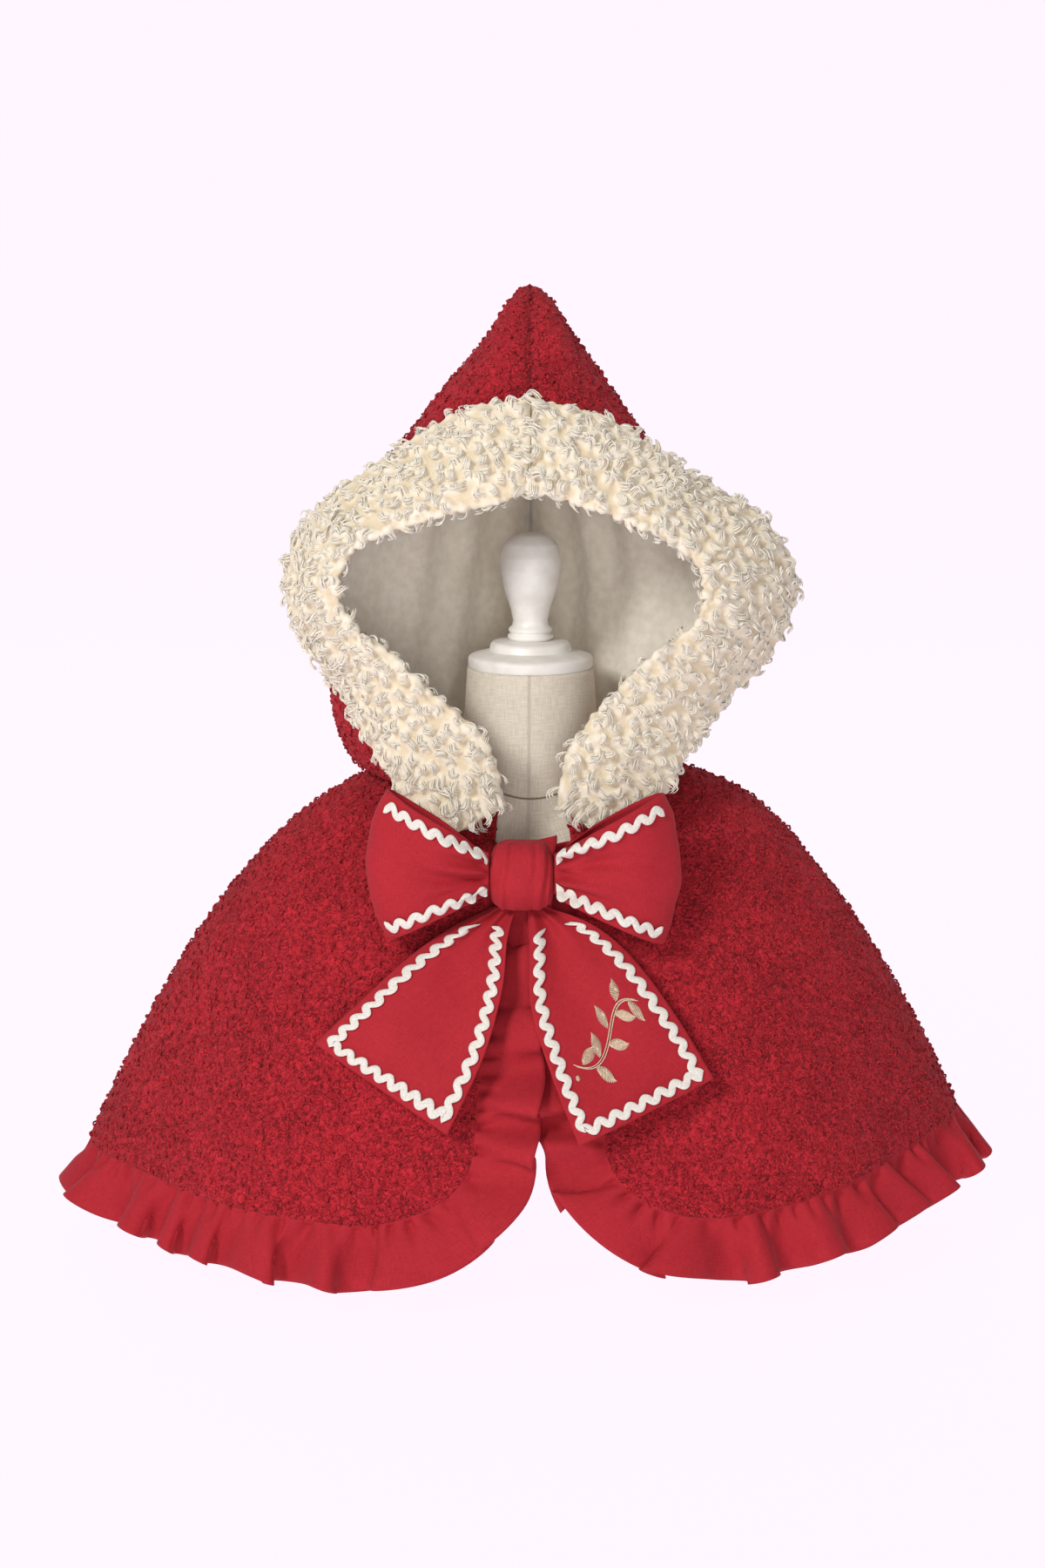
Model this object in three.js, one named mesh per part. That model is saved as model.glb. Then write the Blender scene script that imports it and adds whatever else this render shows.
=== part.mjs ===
// A toddler's hooded wool cape on a small limbless dress form, in millimetres.
// +Z is up, the front faces -Y, and the origin is the middle of the underside of the whole.
// Sizes below are measured from the form's upright axis; the whole is moved to its origin at the end.
// "Left" and "right" in the numbers are the viewer's, looking at the front; pieces are named for the wearer.
import * as THREE from 'three';

// Cloth thicknesses and gaps
const WOOL = 4;
const FRILL_CLOTH = 1.2;
const BOW_CLOTH = 1.5;
const LINING_CLOTH = 1.5;
const BRAID = 1.2;
const SEAM_GAP = 0.3;
const LINING_GAP = 1.2;

// Cape cut
const FRONT_CORNER_RADIUS = 58;
const SIDE_SEAM_ANGLE = THREE.MathUtils.degToRad(96);
const PANEL_MIDDLE_ANGLE = 0.9;
const FRILL_WIDTH = 38;
const FRILL_PITCH = 36;
const FRILL_WAVE = 10;
const FRILL_STEPS_PER_WAVE = 5;
const FRILL_START = 0.5;
const FRILL_GROWTH = 0.8;
// Up the front edges the waves are lower, and they grow over the first stretch from the neck
const FRILL_TOP = 28;
const FRILL_STRAIGHT_WAVE = 4.2;
const FRILL_TOP_SHARE = 0.25;
const FRILL_TOP_RUN = 120;

// How finely the cloth is divided
const PANEL_STEPS = { corner: 6, hem: 12, down: 12, back: 22 };
const SEWING_STEPS = { straight: 50, corner: 30, hem: 90, back: 160 };
const HALVINGS = 30;

// Dress form
const FOOT_SPOTS = [
  { name: 'foot_front_right', x: -66, y: -34 }, { name: 'foot_front_left', x: 66, y: -34 },
  { name: 'foot_back_right', x: -66, y: 34 }, { name: 'foot_back_left', x: 66, y: 34 },
];
const TORSO_BOTTOM = 105;
const NECK_TOP = 365;
const CAP_TOP = 382;

// The cape from neck to hem and on over the frill: half widths, and heights at the sides, front and back
const CAPE_RINGS = [
  { left: 57, right: 57, leftZ: 306, rightZ: 306, front: 50, frontZ: 283, back: 52, backZ: 306 },
  { left: 82, right: 82, leftZ: 303, rightZ: 304, front: 64, frontZ: 269, back: 66, backZ: 294 },
  { left: 106, right: 107, leftZ: 297, rightZ: 299, front: 77, frontZ: 254, back: 79, backZ: 277 },
  { left: 126, right: 130, leftZ: 286, rightZ: 289, front: 89, frontZ: 236, back: 92, backZ: 256 },
  { left: 149, right: 152, leftZ: 269, rightZ: 273, front: 102, frontZ: 214, back: 105, backZ: 230 },
  { left: 175, right: 174, leftZ: 243, rightZ: 248, front: 117, frontZ: 187, back: 121, backZ: 200 },
  { left: 203, right: 200, leftZ: 207, rightZ: 214, front: 131, frontZ: 157, back: 136, backZ: 167 },
  { left: 230, right: 226, leftZ: 164, rightZ: 172, front: 145, frontZ: 124, back: 150, backZ: 131 },
  { left: 256, right: 249, leftZ: 114, rightZ: 130, front: 157, frontZ: 89, back: 161, backZ: 94 },
  { left: 279, right: 270, leftZ: 64, rightZ: 84, front: 168, frontZ: 53, back: 171, backZ: 57 },
  { left: 295, right: 287, leftZ: 30, rightZ: 51, front: 175, frontZ: 24, back: 179, backZ: 27 },
];
const HEM_RING = 9;

// Soft upright folds of the wool, deepest at the hem: where, how wide and how far out or in
const CAPE_FOLDS = [
  { angle: -166, width: 12, out: 6 }, { angle: -138, width: 15, out: 7 },
  { angle: -112, width: 12, out: -6 }, { angle: -84, width: 14, out: 5 },
  { angle: -60, width: 12, out: -5 }, { angle: -34, width: 11, out: 4 },
  { angle: 36, width: 12, out: 5 }, { angle: 61, width: 12, out: -4 },
  { angle: 86, width: 13, out: 5 }, { angle: 113, width: 12, out: -6 },
  { angle: 139, width: 14, out: 7 }, { angle: 167, width: 12, out: -5 },
];

// The front edges: how far from the middle each one runs at the neck and at the hem
const FRONT_EDGES = {
  left: { sign: -1, neck: 20, hem: 38, over: 10 },
  right: { sign: 1, neck: 22, hem: 50, over: 0 },
};

// The fur band from the top of the hood (at 0) to its end at the neckline (at 1): inner and outer edge
const FUR_LEFT = [
  { at: 0, inX: 0, inY: -84, inZ: 477, outX: 0, outY: -58, outZ: 539 },
  { at: 0.09, inX: -22, inY: -85, inZ: 470, outX: -36, outY: -57, outZ: 533 },
  { at: 0.18, inX: -51, inY: -86, inZ: 464, outX: -67, outY: -50, outZ: 515 },
  { at: 0.28, inX: -78, inY: -87, inZ: 457, outX: -97, outY: -44, outZ: 495 },
  { at: 0.38, inX: -100, inY: -88, inZ: 447, outX: -124, outY: -38, outZ: 474 },
  { at: 0.47, inX: -112, inY: -88, inZ: 430, outX: -143, outY: -34, outZ: 452 },
  { at: 0.56, inX: -110, inY: -90, inZ: 409, outX: -152, outY: -33, outZ: 422 },
  { at: 0.65, inX: -95, inY: -92, inZ: 393, outX: -144, outY: -38, outZ: 390 },
  { at: 0.74, inX: -73, inY: -92, inZ: 378, outX: -124, outY: -46, outZ: 360 },
  { at: 0.83, inX: -50, inY: -91, inZ: 357, outX: -107, outY: -57, outZ: 331 },
  { at: 0.91, inX: -23, inY: -90, inZ: 334, outX: -90, outY: -70, outZ: 304 },
  { at: 1, inX: -7, inY: -83, inZ: 297, outX: -64, outY: -86, outZ: 266 },
];
const FUR_RIGHT = [
  { at: 0, inX: 0, inY: -84, inZ: 477, outX: 0, outY: -58, outZ: 539 },
  { at: 0.09, inX: 20, inY: -85, inZ: 472, outX: 28, outY: -57, outZ: 532 },
  { at: 0.18, inX: 41, inY: -86, inZ: 465, outX: 56, outY: -51, outZ: 521 },
  { at: 0.28, inX: 62, inY: -87, inZ: 458, outX: 86, outY: -44, outZ: 500 },
  { at: 0.38, inX: 82, inY: -88, inZ: 448, outX: 116, outY: -38, outZ: 479 },
  { at: 0.47, inX: 96, inY: -88, inZ: 431, outX: 149, outY: -34, outZ: 456 },
  { at: 0.56, inX: 98, inY: -89, inZ: 411, outX: 165, outY: -33, outZ: 420 },
  { at: 0.65, inX: 83, inY: -91, inZ: 393, outX: 156, outY: -38, outZ: 387 },
  { at: 0.74, inX: 62, inY: -91, inZ: 377, outX: 131, outY: -47, outZ: 358 },
  { at: 0.83, inX: 41, inY: -90, inZ: 357, outX: 110, outY: -58, outZ: 331 },
  { at: 0.91, inX: 21, inY: -90, inZ: 334, outX: 90, outY: -70, outZ: 304 },
  { at: 1, inX: 7, inY: -83, inZ: 297, outX: 60, outY: -86, outZ: 266 },
];
const FUR_THICKNESS = 21;
const FUR_SIDES = 10;
const FUR_END_SIZE = 0.8;
// The hood's wool starts behind the fur: this far in from the band's outer edge and behind its middle
const HOOD_START_IN = 3;
const HOOD_START_BEHIND = 8;

// One half of the hood, at the same stations: its front edge, the belly of the cloth and the centre seam.
// Rows from the top of the opening follow the fur; the last two run down behind it to the neck.
const HOOD_ROWS = [
  { at: 0, edge: 0, midLeft: 0, midRight: 0, midY: -12, midZ: 581, seamY: 30, seamZ: 603 },
  { at: 0.025, edge: 0, midLeft: 15, midRight: 15, midY: -7, midZ: 583, seamY: 43, seamZ: 599 },
  { at: 0.06, edge: 0, midLeft: 26, midRight: 26, midY: -2, midZ: 570, seamY: 62, seamZ: 588 },
  { at: 0.15, edge: 0, midLeft: 50, midRight: 47, midY: 8, midZ: 542, seamY: 88, seamZ: 560 },
  { at: 0.28, edge: 0, midLeft: 70, midRight: 64, midY: 14, midZ: 505, seamY: 108, seamZ: 520 },
  { at: 0.42, edge: 0, midLeft: 93, midRight: 89, midY: 20, midZ: 462, seamY: 119, seamZ: 474 },
  { at: 0.56, edge: 0, midLeft: 106, midRight: 106, midY: 22, midZ: 416, seamY: 121, seamZ: 430 },
  { at: 0.68, edge: 0, midLeft: 110, midRight: 101, midY: 18, midZ: 376, seamY: 114, seamZ: 389 },
  { at: 0.78, edge: 0, midLeft: 113, midRight: 93, midY: 12, midZ: 345, seamY: 99, seamZ: 352 },
  { at: 0.86, edge: 0.35, midLeft: 113, midRight: 90, midY: 7, midZ: 318, seamY: 82, seamZ: 327 },
  { at: 0.92, edge: 0.75, midLeft: 101, midRight: 84, midY: 4, midZ: 305, seamY: 68, seamZ: 314 },
  { at: 1, edge: 1, midLeft: 60, midRight: 57, midY: 2, midZ: 307, seamY: 53, seamZ: 307 },
];
const HOOD_NECK_FRONT = { x: 23, y: -51, z: 284.5 };
const HOOD_NECK_BLEND = 0.93;
// At its neck edge the hood's cloth faces down and a little out; its heart is a point inside it
const HOOD_NECK_FACING = { side: 0.5, back: 0.2, down: -0.85 };
const HOOD_HEART = new THREE.Vector3(0, 20, 430);
const HOOD_ROW_STEPS = 17;
const HOOD_COLUMN_STEPS = 10;
const SHOULDER_CLEARANCE = 1.2;
const LINING_DEPTH = WOOL + LINING_GAP;
const LINING_LAST_ROW = HOOD_ROW_STEPS - 1;
const LINING_SEAM_DROP = 2.5;
const LEAST_SLOPE = 0.5;

// One bow loop from the back of the knot round its outer fold to the front of the knot
const LOOP_LEFT = [
  { at: 0, x: -24.7, y: -104, top: 267, bottom: 246, bulge: 0 },
  { at: 0.16, x: -45, y: -99, top: 282, bottom: 237, bulge: 1 },
  { at: 0.32, x: -68, y: -98, top: 297, bottom: 228, bulge: 4 },
  { at: 0.44, x: -82, y: -102, top: 306, bottom: 221, bulge: 9 },
  { at: 0.5, x: -86, y: -111, top: 308, bottom: 219, bulge: 12 },
  { at: 0.56, x: -82, y: -120, top: 307, bottom: 220, bulge: 9 },
  { at: 0.68, x: -68, y: -128, top: 299, bottom: 227, bulge: 4 },
  { at: 0.84, x: -45, y: -128, top: 285, bottom: 238, bulge: 1 },
  { at: 1, x: -24.7, y: -118, top: 271, bottom: 247, bulge: 0 },
];
const LOOP_RIGHT = [
  { at: 0, x: 13.7, y: -104, top: 267, bottom: 246, bulge: 0 },
  { at: 0.16, x: 34, y: -99, top: 282, bottom: 236, bulge: -1 },
  { at: 0.32, x: 58, y: -98, top: 296, bottom: 226, bulge: -4 },
  { at: 0.44, x: 74, y: -102, top: 304, bottom: 218, bulge: -7 },
  { at: 0.5, x: 79, y: -111, top: 306, bottom: 215, bulge: -10 },
  { at: 0.56, x: 74, y: -120, top: 305, bottom: 217, bulge: -7 },
  { at: 0.68, x: 58, y: -128, top: 297, bottom: 225, bulge: -4 },
  { at: 0.84, x: 34, y: -128, top: 284, bottom: 237, bulge: -1 },
  { at: 1, x: 13.7, y: -118, top: 271, bottom: 247, bulge: 0 },
];
const LOOP_STEPS = 22;
const LOOP_WIDTH_STEPS = 5;

// The knot's sections from bottom to top
const KNOT = { x: -5.5, y: -107.8 };
const KNOT_ROWS = [
  { z: 236.4, halfX: 14, halfY: 9 }, { z: 240, halfX: 18, halfY: 12.5 },
  { z: 248, halfX: 19, halfY: 17.9 }, { z: 257, halfX: 18.8, halfY: 18.4 },
  { z: 266, halfX: 18.5, halfY: 17.1 }, { z: 273, halfX: 16.5, halfY: 13 },
  { z: 276, halfX: 13, halfY: 7 },
];

const KNOT_SIDES = 20;
const KNOT_ROUNDNESS = 0.5;

// The tails from the knot down: outer and inner edge, and how far in front of the cape's wool they hang
const TAIL_LEFT = [
  { at: 0, outX: -21, outZ: 236, inX: -9, inZ: 236, off: 16 },
  { at: 0.22, outX: -47, outZ: 225, inX: -14, inZ: 220, off: 20 },
  { at: 0.45, outX: -73, outZ: 208, inX: -17, inZ: 193, off: 20 },
  { at: 0.72, outX: -102, outZ: 183, inX: -28, inZ: 156, off: 20 },
  { at: 1, outX: -128, outZ: 159, inX: -49, inZ: 113, off: 19 },
];
const TAIL_RIGHT = [
  { at: 0, outX: 10, outZ: 236, inX: -2, inZ: 236, off: 16 },
  { at: 0.22, outX: 37, outZ: 227, inX: -1, inZ: 216, off: 20 },
  { at: 0.45, outX: 61, outZ: 208, inX: 0, inZ: 184, off: 20 },
  { at: 0.72, outX: 86, outZ: 176, inX: 12, inZ: 147, off: 20 },
  { at: 1, outX: 108, outZ: 141, inX: 28, inZ: 108, off: 19 },
];
const TAIL_FOLD = { depth: 2.6, turn: 7.5, reach: 1.1, fade: 0.8 };
const TAIL_STEPS = 12;
const TAIL_WIDTH_STEPS = 9;

// Wavy braid on the bow
const BRAID_WIDTH = 5.6;
const BRAID_SWING = 2.2;
const BRAID_HALF_PERIOD = 5;
const BRAID_INSET = 8;
const BRAID_LIFT = 0.9;
// It shows on the front of each loop, closer to the edge where the loop narrows, and starts a little way
// down each tail
const LOOP_BRAID = { start: 0.56, end: 0.985, fullHeight: 60, leastInset: 0.55, steps: 30 };
const TAIL_BRAID_START = 0.2;

// The linen torso from the flat bottom up to the neck
const TORSO_RINGS = [
  { left: 98, right: 98, leftZ: 105, rightZ: 105, front: 68, frontZ: 105, back: 70, backZ: 105 },
  { left: 104, right: 104, leftZ: 128, rightZ: 128, front: 74, frontZ: 118, back: 76, backZ: 122 },
  { left: 110, right: 110, leftZ: 180, rightZ: 180, front: 77, frontZ: 150, back: 80, backZ: 160 },
  { left: 116, right: 116, leftZ: 225, rightZ: 225, front: 79, frontZ: 182, back: 82, backZ: 195 },
  { left: 118, right: 118, leftZ: 260, rightZ: 260, front: 79, frontZ: 207, back: 81, backZ: 222 },
  { left: 114, right: 114, leftZ: 278, rightZ: 278, front: 76, frontZ: 226, back: 79, backZ: 242 },
  { left: 102, right: 102, leftZ: 291, rightZ: 291, front: 70, frontZ: 243, back: 73, backZ: 262 },
  { left: 82, right: 82, leftZ: 298, rightZ: 298, front: 60, frontZ: 260, back: 63, backZ: 282 },
  { left: 60, right: 60, leftZ: 300.4, rightZ: 300.4, front: 49, frontZ: 275, back: 51, backZ: 297 },
  { left: 44, right: 44, leftZ: 306, rightZ: 306, front: 43, frontZ: 289, back: 44, backZ: 306 },
  { left: 42, right: 42, leftZ: 330, rightZ: 330, front: 41.5, frontZ: 328, back: 42, backZ: 330 },
  { left: 39.5, right: 39.5, leftZ: 365, rightZ: 365, front: 39.5, frontZ: 365, back: 39.5, backZ: 365 },
];
const TORSO_SIDES = 24;

// Turned wood, radius and height
const FOOT_PROFILE = [
  [0, 0], [10, 0], [11, 1.2], [11, 6], [8, 12], [8, 50], [10.5, TORSO_BOTTOM - 8], [10.5, TORSO_BOTTOM],
  [0, TORSO_BOTTOM],
];
const CAP_PROFILE = [
  [0, NECK_TOP], [38.5, NECK_TOP], [39, NECK_TOP + 1], [39, NECK_TOP + 6], [37.5, NECK_TOP + 7.5],
  [26, NECK_TOP + 10.5], [25, NECK_TOP + 14.5], [23.5, NECK_TOP + 16], [15, CAP_TOP], [0, CAP_TOP],
];
const FINIAL_PROFILE = [
  [0, CAP_TOP], [13, CAP_TOP], [14.3, CAP_TOP + 1.5], [14.3, CAP_TOP + 3], [12.5, CAP_TOP + 4.4],
  [13.8, CAP_TOP + 5.8], [13.8, CAP_TOP + 7.2], [11.6, CAP_TOP + 9], [10.8, CAP_TOP + 12],
  [12.5, CAP_TOP + 20], [16.5, CAP_TOP + 32], [19, CAP_TOP + 44], [19, CAP_TOP + 52],
  [16.6, CAP_TOP + 60], [11, CAP_TOP + 65.4], [5, CAP_TOP + 67.2], [0, CAP_TOP + 67.6],
];
const TURNED_SIDES = { cap: 28, finial: 20, foot: 16 };

const woolFinish = () => new THREE.MeshStandardMaterial({ color: 0xa81e2c, roughness: 0.95, metalness: 0 });
const redFinish = () => new THREE.MeshStandardMaterial({ color: 0xbb2a38, roughness: 0.8, metalness: 0 });
const furFinish = () => new THREE.MeshStandardMaterial({ color: 0xede6da, roughness: 0.95, metalness: 0 });
const liningFinish = () => new THREE.MeshStandardMaterial({ color: 0xcfc5b8, roughness: 0.9, metalness: 0 });
const braidFinish = () => new THREE.MeshStandardMaterial({ color: 0xe9e5e0, roughness: 0.85, metalness: 0 });
const linenFinish = () => new THREE.MeshStandardMaterial({ color: 0xd2c8bb, roughness: 0.9, metalness: 0 });
const paintFinish = () => new THREE.MeshStandardMaterial({ color: 0xedeae7, roughness: 0.45, metalness: 0 });

const vec = (x, y, z) => new THREE.Vector3(x, y, z);
const lerp = THREE.MathUtils.lerp;
const clamp = THREE.MathUtils.clamp;

// Smooth reading of a table whose rows are sorted by one column; past the last row it runs on straight
function reader(rows, key) {
  const slope = (i, name) => {
    const before = rows[Math.max(0, i - 1)];
    const after = rows[Math.min(rows.length - 1, i + 1)];
    return (after[name] - before[name]) / (after[key] - before[key]);
  };
  return (name, at) => {
    const last = rows.length - 1;
    if (at >= rows[last][key]) return rows[last][name] + slope(last, name) * (at - rows[last][key]);
    let i = 0;
    while (i < last - 1 && at > rows[i + 1][key]) i += 1;
    const span = rows[i + 1][key] - rows[i][key];
    const f = Math.max(0, (at - rows[i][key]) / span);
    const a = rows[i][name];
    const b = rows[i + 1][name];
    const startPull = slope(i, name) * span;
    const endPull = slope(i + 1, name) * span;
    return a * (1 + 2 * f) * (1 - f) ** 2 + b * f * f * (3 - 2 * f)
      + startPull * f * (1 - f) ** 2 - endPull * f * f * (1 - f);
  };
}

// One body from grids of points: an outer and an inner face, joined round their rims
function closedWall(outer, inner) {
  const rows = outer.length;
  const columns = outer[0].length;
  const points = [...outer.flat(), ...inner.flat()];
  const index = [];
  const quad = (a, b, c, d) => index.push(a, b, c, a, c, d);
  const outside = (i, j) => i * columns + j;
  const inside = (i, j) => rows * columns + i * columns + j;
  for (let i = 0; i < rows - 1; i += 1) {
    for (let j = 0; j < columns - 1; j += 1) {
      quad(outside(i, j), outside(i + 1, j), outside(i + 1, j + 1), outside(i, j + 1));
      quad(inside(i, j), inside(i, j + 1), inside(i + 1, j + 1), inside(i + 1, j));
    }
    quad(outside(i, 0), inside(i, 0), inside(i + 1, 0), outside(i + 1, 0));
    const last = columns - 1;
    quad(outside(i, last), outside(i + 1, last), inside(i + 1, last), inside(i, last));
  }
  for (let j = 0; j < columns - 1; j += 1) {
    quad(outside(0, j), outside(0, j + 1), inside(0, j + 1), inside(0, j));
    quad(outside(rows - 1, j), inside(rows - 1, j), inside(rows - 1, j + 1), outside(rows - 1, j + 1));
  }
  return geometryFrom(points, index);
}

// One body from closed rings of points, capped by a fan at each end
function closedTube(rings) {
  const sides = rings[0].length;
  const points = rings.flat();
  const index = [];
  for (let i = 0; i < rings.length - 1; i += 1) {
    for (let j = 0; j < sides; j += 1) {
      const a = i * sides + j;
      const b = i * sides + (j + 1) % sides;
      index.push(a, b, b + sides, a, b + sides, a + sides);
    }
  }
  const middleOf = (ring) => ring.reduce((sum, p) => sum.add(p), vec(0, 0, 0)).divideScalar(sides);
  const start = points.push(middleOf(rings[0])) - 1;
  const end = points.push(middleOf(rings[rings.length - 1])) - 1;
  const lastRing = (rings.length - 1) * sides;
  for (let j = 0; j < sides; j += 1) {
    const next = (j + 1) % sides;
    index.push(start, next, j);
    index.push(end, lastRing + j, lastRing + next);
  }
  return geometryFrom(points, index);
}

// Buffer geometry whose faces are turned outwards if the signed volume says they point in
function geometryFrom(points, index) {
  let volume = 0;
  const cross = vec(0, 0, 0);
  for (let i = 0; i < index.length; i += 3) {
    cross.crossVectors(points[index[i + 1]], points[index[i + 2]]);
    volume += points[index[i]].dot(cross);
  }
  if (volume < 0) index.reverse();
  const geometry = new THREE.BufferGeometry().setFromPoints(points);
  geometry.setIndex(index);
  geometry.computeVertexNormals();
  return geometry;
}

// A ring table becomes a smooth surface: angle 0 is the front, turning to the viewer's right
function ringSurface(rings) {
  let down = 0;
  const rows = rings.map((ring, i) => {
    if (i > 0) {
      const above = rings[i - 1];
      down += (Math.hypot(ring.left - above.left, ring.leftZ - above.leftZ)
        + Math.hypot(ring.front - above.front, ring.frontZ - above.frontZ)) / 2;
    }
    return { ...ring, down };
  });
  const read = reader(rows, 'down');
  const pointAt = (angle, at) => {
    const side = Math.sin(angle);
    const ahead = Math.cos(angle);
    const half = side < 0 ? read('left', at) : read('right', at);
    const depth = ahead > 0 ? read('front', at) : read('back', at);
    const sideZ = side < 0 ? read('leftZ', at) : read('rightZ', at);
    const depthZ = ahead > 0 ? read('frontZ', at) : read('backZ', at);
    return vec(half * side, -depth * ahead, sideZ * side * side + depthZ * ahead * ahead);
  };
  return { rows, read, pointAt };
}

const CAPE = ringSurface(CAPE_RINGS);
const HEM = CAPE.rows[HEM_RING].down;

// How far the wool stands out in its folds
function foldOut(angle, at) {
  const growth = clamp(at / HEM, 0, 1.1) ** 2;
  return growth * CAPE_FOLDS.reduce((sum, fold) => {
    const turn = Math.atan2(Math.sin(angle - THREE.MathUtils.degToRad(fold.angle)),
      Math.cos(angle - THREE.MathUtils.degToRad(fold.angle)));
    return sum + fold.out * Math.exp(-((turn / THREE.MathUtils.degToRad(fold.width)) ** 2));
  }, 0);
}

function capePoint(angle, at) {
  const point = CAPE.pointAt(angle, at);
  const out = foldOut(angle, at);
  return point.add(vec(Math.sin(angle) * out, -Math.cos(angle) * out, 0));
}

// Directions along the cape at a point, with their scales, and the normal that points out
function capeFrame(angle, at) {
  const turn = 0.01;
  const step = 1;
  const across = capePoint(angle + turn, at).sub(capePoint(angle - turn, at)).divideScalar(2 * turn);
  const downward = capePoint(angle, at + step).sub(capePoint(angle, at - step)).divideScalar(2 * step);
  const normal = vec(0, 0, 0).crossVectors(across, downward).normalize().negate();
  return { across: across.length(), downward: downward.length(), normal };
}

function capeOff(angle, at, distance) {
  return capePoint(angle, at).addScaledVector(capeFrame(angle, at).normal, distance);
}

// The angle of a front edge at a distance down the cape
function edgeAngle(edge, at) {
  const half = edge.sign < 0 ? CAPE.read('left', at) : CAPE.read('right', at);
  return edge.sign * Math.asin(lerp(edge.neck, edge.hem, clamp(at / HEM, 0, 1)) / half);
}

// A front panel's width along the hem, and the angle of a line that lies a share of it from the front edge
function frontWidth(edge) {
  const turn = SIDE_SEAM_ANGLE - Math.abs(edgeAngle(edge, HEM));
  return capeFrame(edge.sign * PANEL_MIDDLE_ANGLE, HEM).across * turn;
}
const panelAngle = (edge, at, share) => lerp(edgeAngle(edge, at), edge.sign * SIDE_SEAM_ANGLE, share);

function seamTurn(at) {
  return SEAM_GAP / 2 / capeFrame(SIDE_SEAM_ANGLE, at).across;
}

function frontPanel(edge) {
  const width = frontWidth(edge);
  const columns = [];
  for (let i = 0; i < PANEL_STEPS.corner; i += 1) {
    const turn = (i / PANEL_STEPS.corner) * Math.PI / 2;
    const along = FRONT_CORNER_RADIUS * (1 - Math.cos(turn));
    columns.push({ share: along / width, end: HEM - FRONT_CORNER_RADIUS * (1 - Math.sin(turn)) });
  }
  const startShare = FRONT_CORNER_RADIUS / width;
  for (let i = 0; i <= PANEL_STEPS.hem; i += 1) {
    columns.push({ share: lerp(startShare, 1, i / PANEL_STEPS.hem), end: HEM });
  }
  const grid = (distance) => columns.map((column, i) => {
    const line = [];
    for (let j = 0; j <= PANEL_STEPS.down; j += 1) {
      const at = (column.end * j) / PANEL_STEPS.down;
      const inward = i === columns.length - 1 ? edge.sign * seamTurn(at) : 0;
      line.push(capeOff(panelAngle(edge, at, column.share) - inward, at, distance));
    }
    return line;
  });
  return closedWall(grid(0), grid(-WOOL));
}

function backPanel() {
  const grid = (distance) => {
    const lines = [];
    for (let i = 0; i <= PANEL_STEPS.back; i += 1) {
      const line = [];
      for (let j = 0; j <= PANEL_STEPS.down; j += 1) {
        const at = (HEM * j) / PANEL_STEPS.down;
        const start = SIDE_SEAM_ANGLE + seamTurn(at);
        line.push(capeOff(lerp(start, 2 * Math.PI - start, i / PANEL_STEPS.back), at, distance));
      }
      lines.push(line);
    }
    return lines;
  };
  return closedWall(grid(0), grid(-WOOL));
}

// The sewing line of a frill: where it runs on the cape and which way the frill leaves it
function frontSewingLine(edge) {
  const width = frontWidth(edge);
  const straightEnd = HEM - FRONT_CORNER_RADIUS;
  const line = [];
  for (let i = 0; i < SEWING_STEPS.straight; i += 1) {
    const at = lerp(FRILL_TOP, straightEnd, i / SEWING_STEPS.straight);
    line.push({ angle: edgeAngle(edge, at), at, leave: Math.PI });
  }
  for (let i = 0; i < SEWING_STEPS.corner; i += 1) {
    const turn = (i / SEWING_STEPS.corner) * Math.PI / 2;
    const at = HEM - FRONT_CORNER_RADIUS * (1 - Math.sin(turn));
    const share = (FRONT_CORNER_RADIUS * (1 - Math.cos(turn))) / width;
    line.push({ angle: panelAngle(edge, at, share), at, leave: Math.PI - turn });
  }
  const startShare = FRONT_CORNER_RADIUS / width;
  for (let i = 0; i <= SEWING_STEPS.hem; i += 1) {
    const share = lerp(startShare, 1, i / SEWING_STEPS.hem);
    const end = edge.sign * (SIDE_SEAM_ANGLE - seamTurn(HEM));
    const angle = i === SEWING_STEPS.hem ? end : panelAngle(edge, HEM, share);
    line.push({ angle, at: HEM, leave: Math.PI / 2 });
  }
  return line;
}

function backSewingLine() {
  const start = SIDE_SEAM_ANGLE + seamTurn(HEM);
  return Array.from({ length: SEWING_STEPS.back + 1 }, (_, i) => (
    { angle: lerp(start, 2 * Math.PI - start, i / SEWING_STEPS.back), at: HEM, leave: Math.PI / 2 }));
}

// The line read by its own length
function measured(line) {
  let along = 0;
  return line.map((spot, i) => {
    const before = line[Math.max(0, i - 1)];
    along += capePoint(spot.angle, spot.at).distanceTo(capePoint(before.angle, before.at));
    return { ...spot, along };
  });
}

function spotAt(line, along) {
  let i = 0;
  while (i < line.length - 2 && along > line[i + 1].along) i += 1;
  const f = (along - line[i].along) / (line[i + 1].along - line[i].along);
  return {
    angle: lerp(line[i].angle, line[i + 1].angle, f),
    at: lerp(line[i].at, line[i + 1].at, f),
    leave: lerp(line[i].leave, line[i + 1].leave, f),
  };
}

// Gathers of uneven width, and how high they stand at a distance along the sewing line
const gather = (along) => Math.sin((2 * Math.PI * along) / FRILL_PITCH
  + 0.9 * Math.sin(along / 31) + 0.7 * Math.sin(along / 17 + 2));
const unevenness = (along) => 0.82 + 0.18 * Math.sin(along / 23 + 1);

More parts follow.
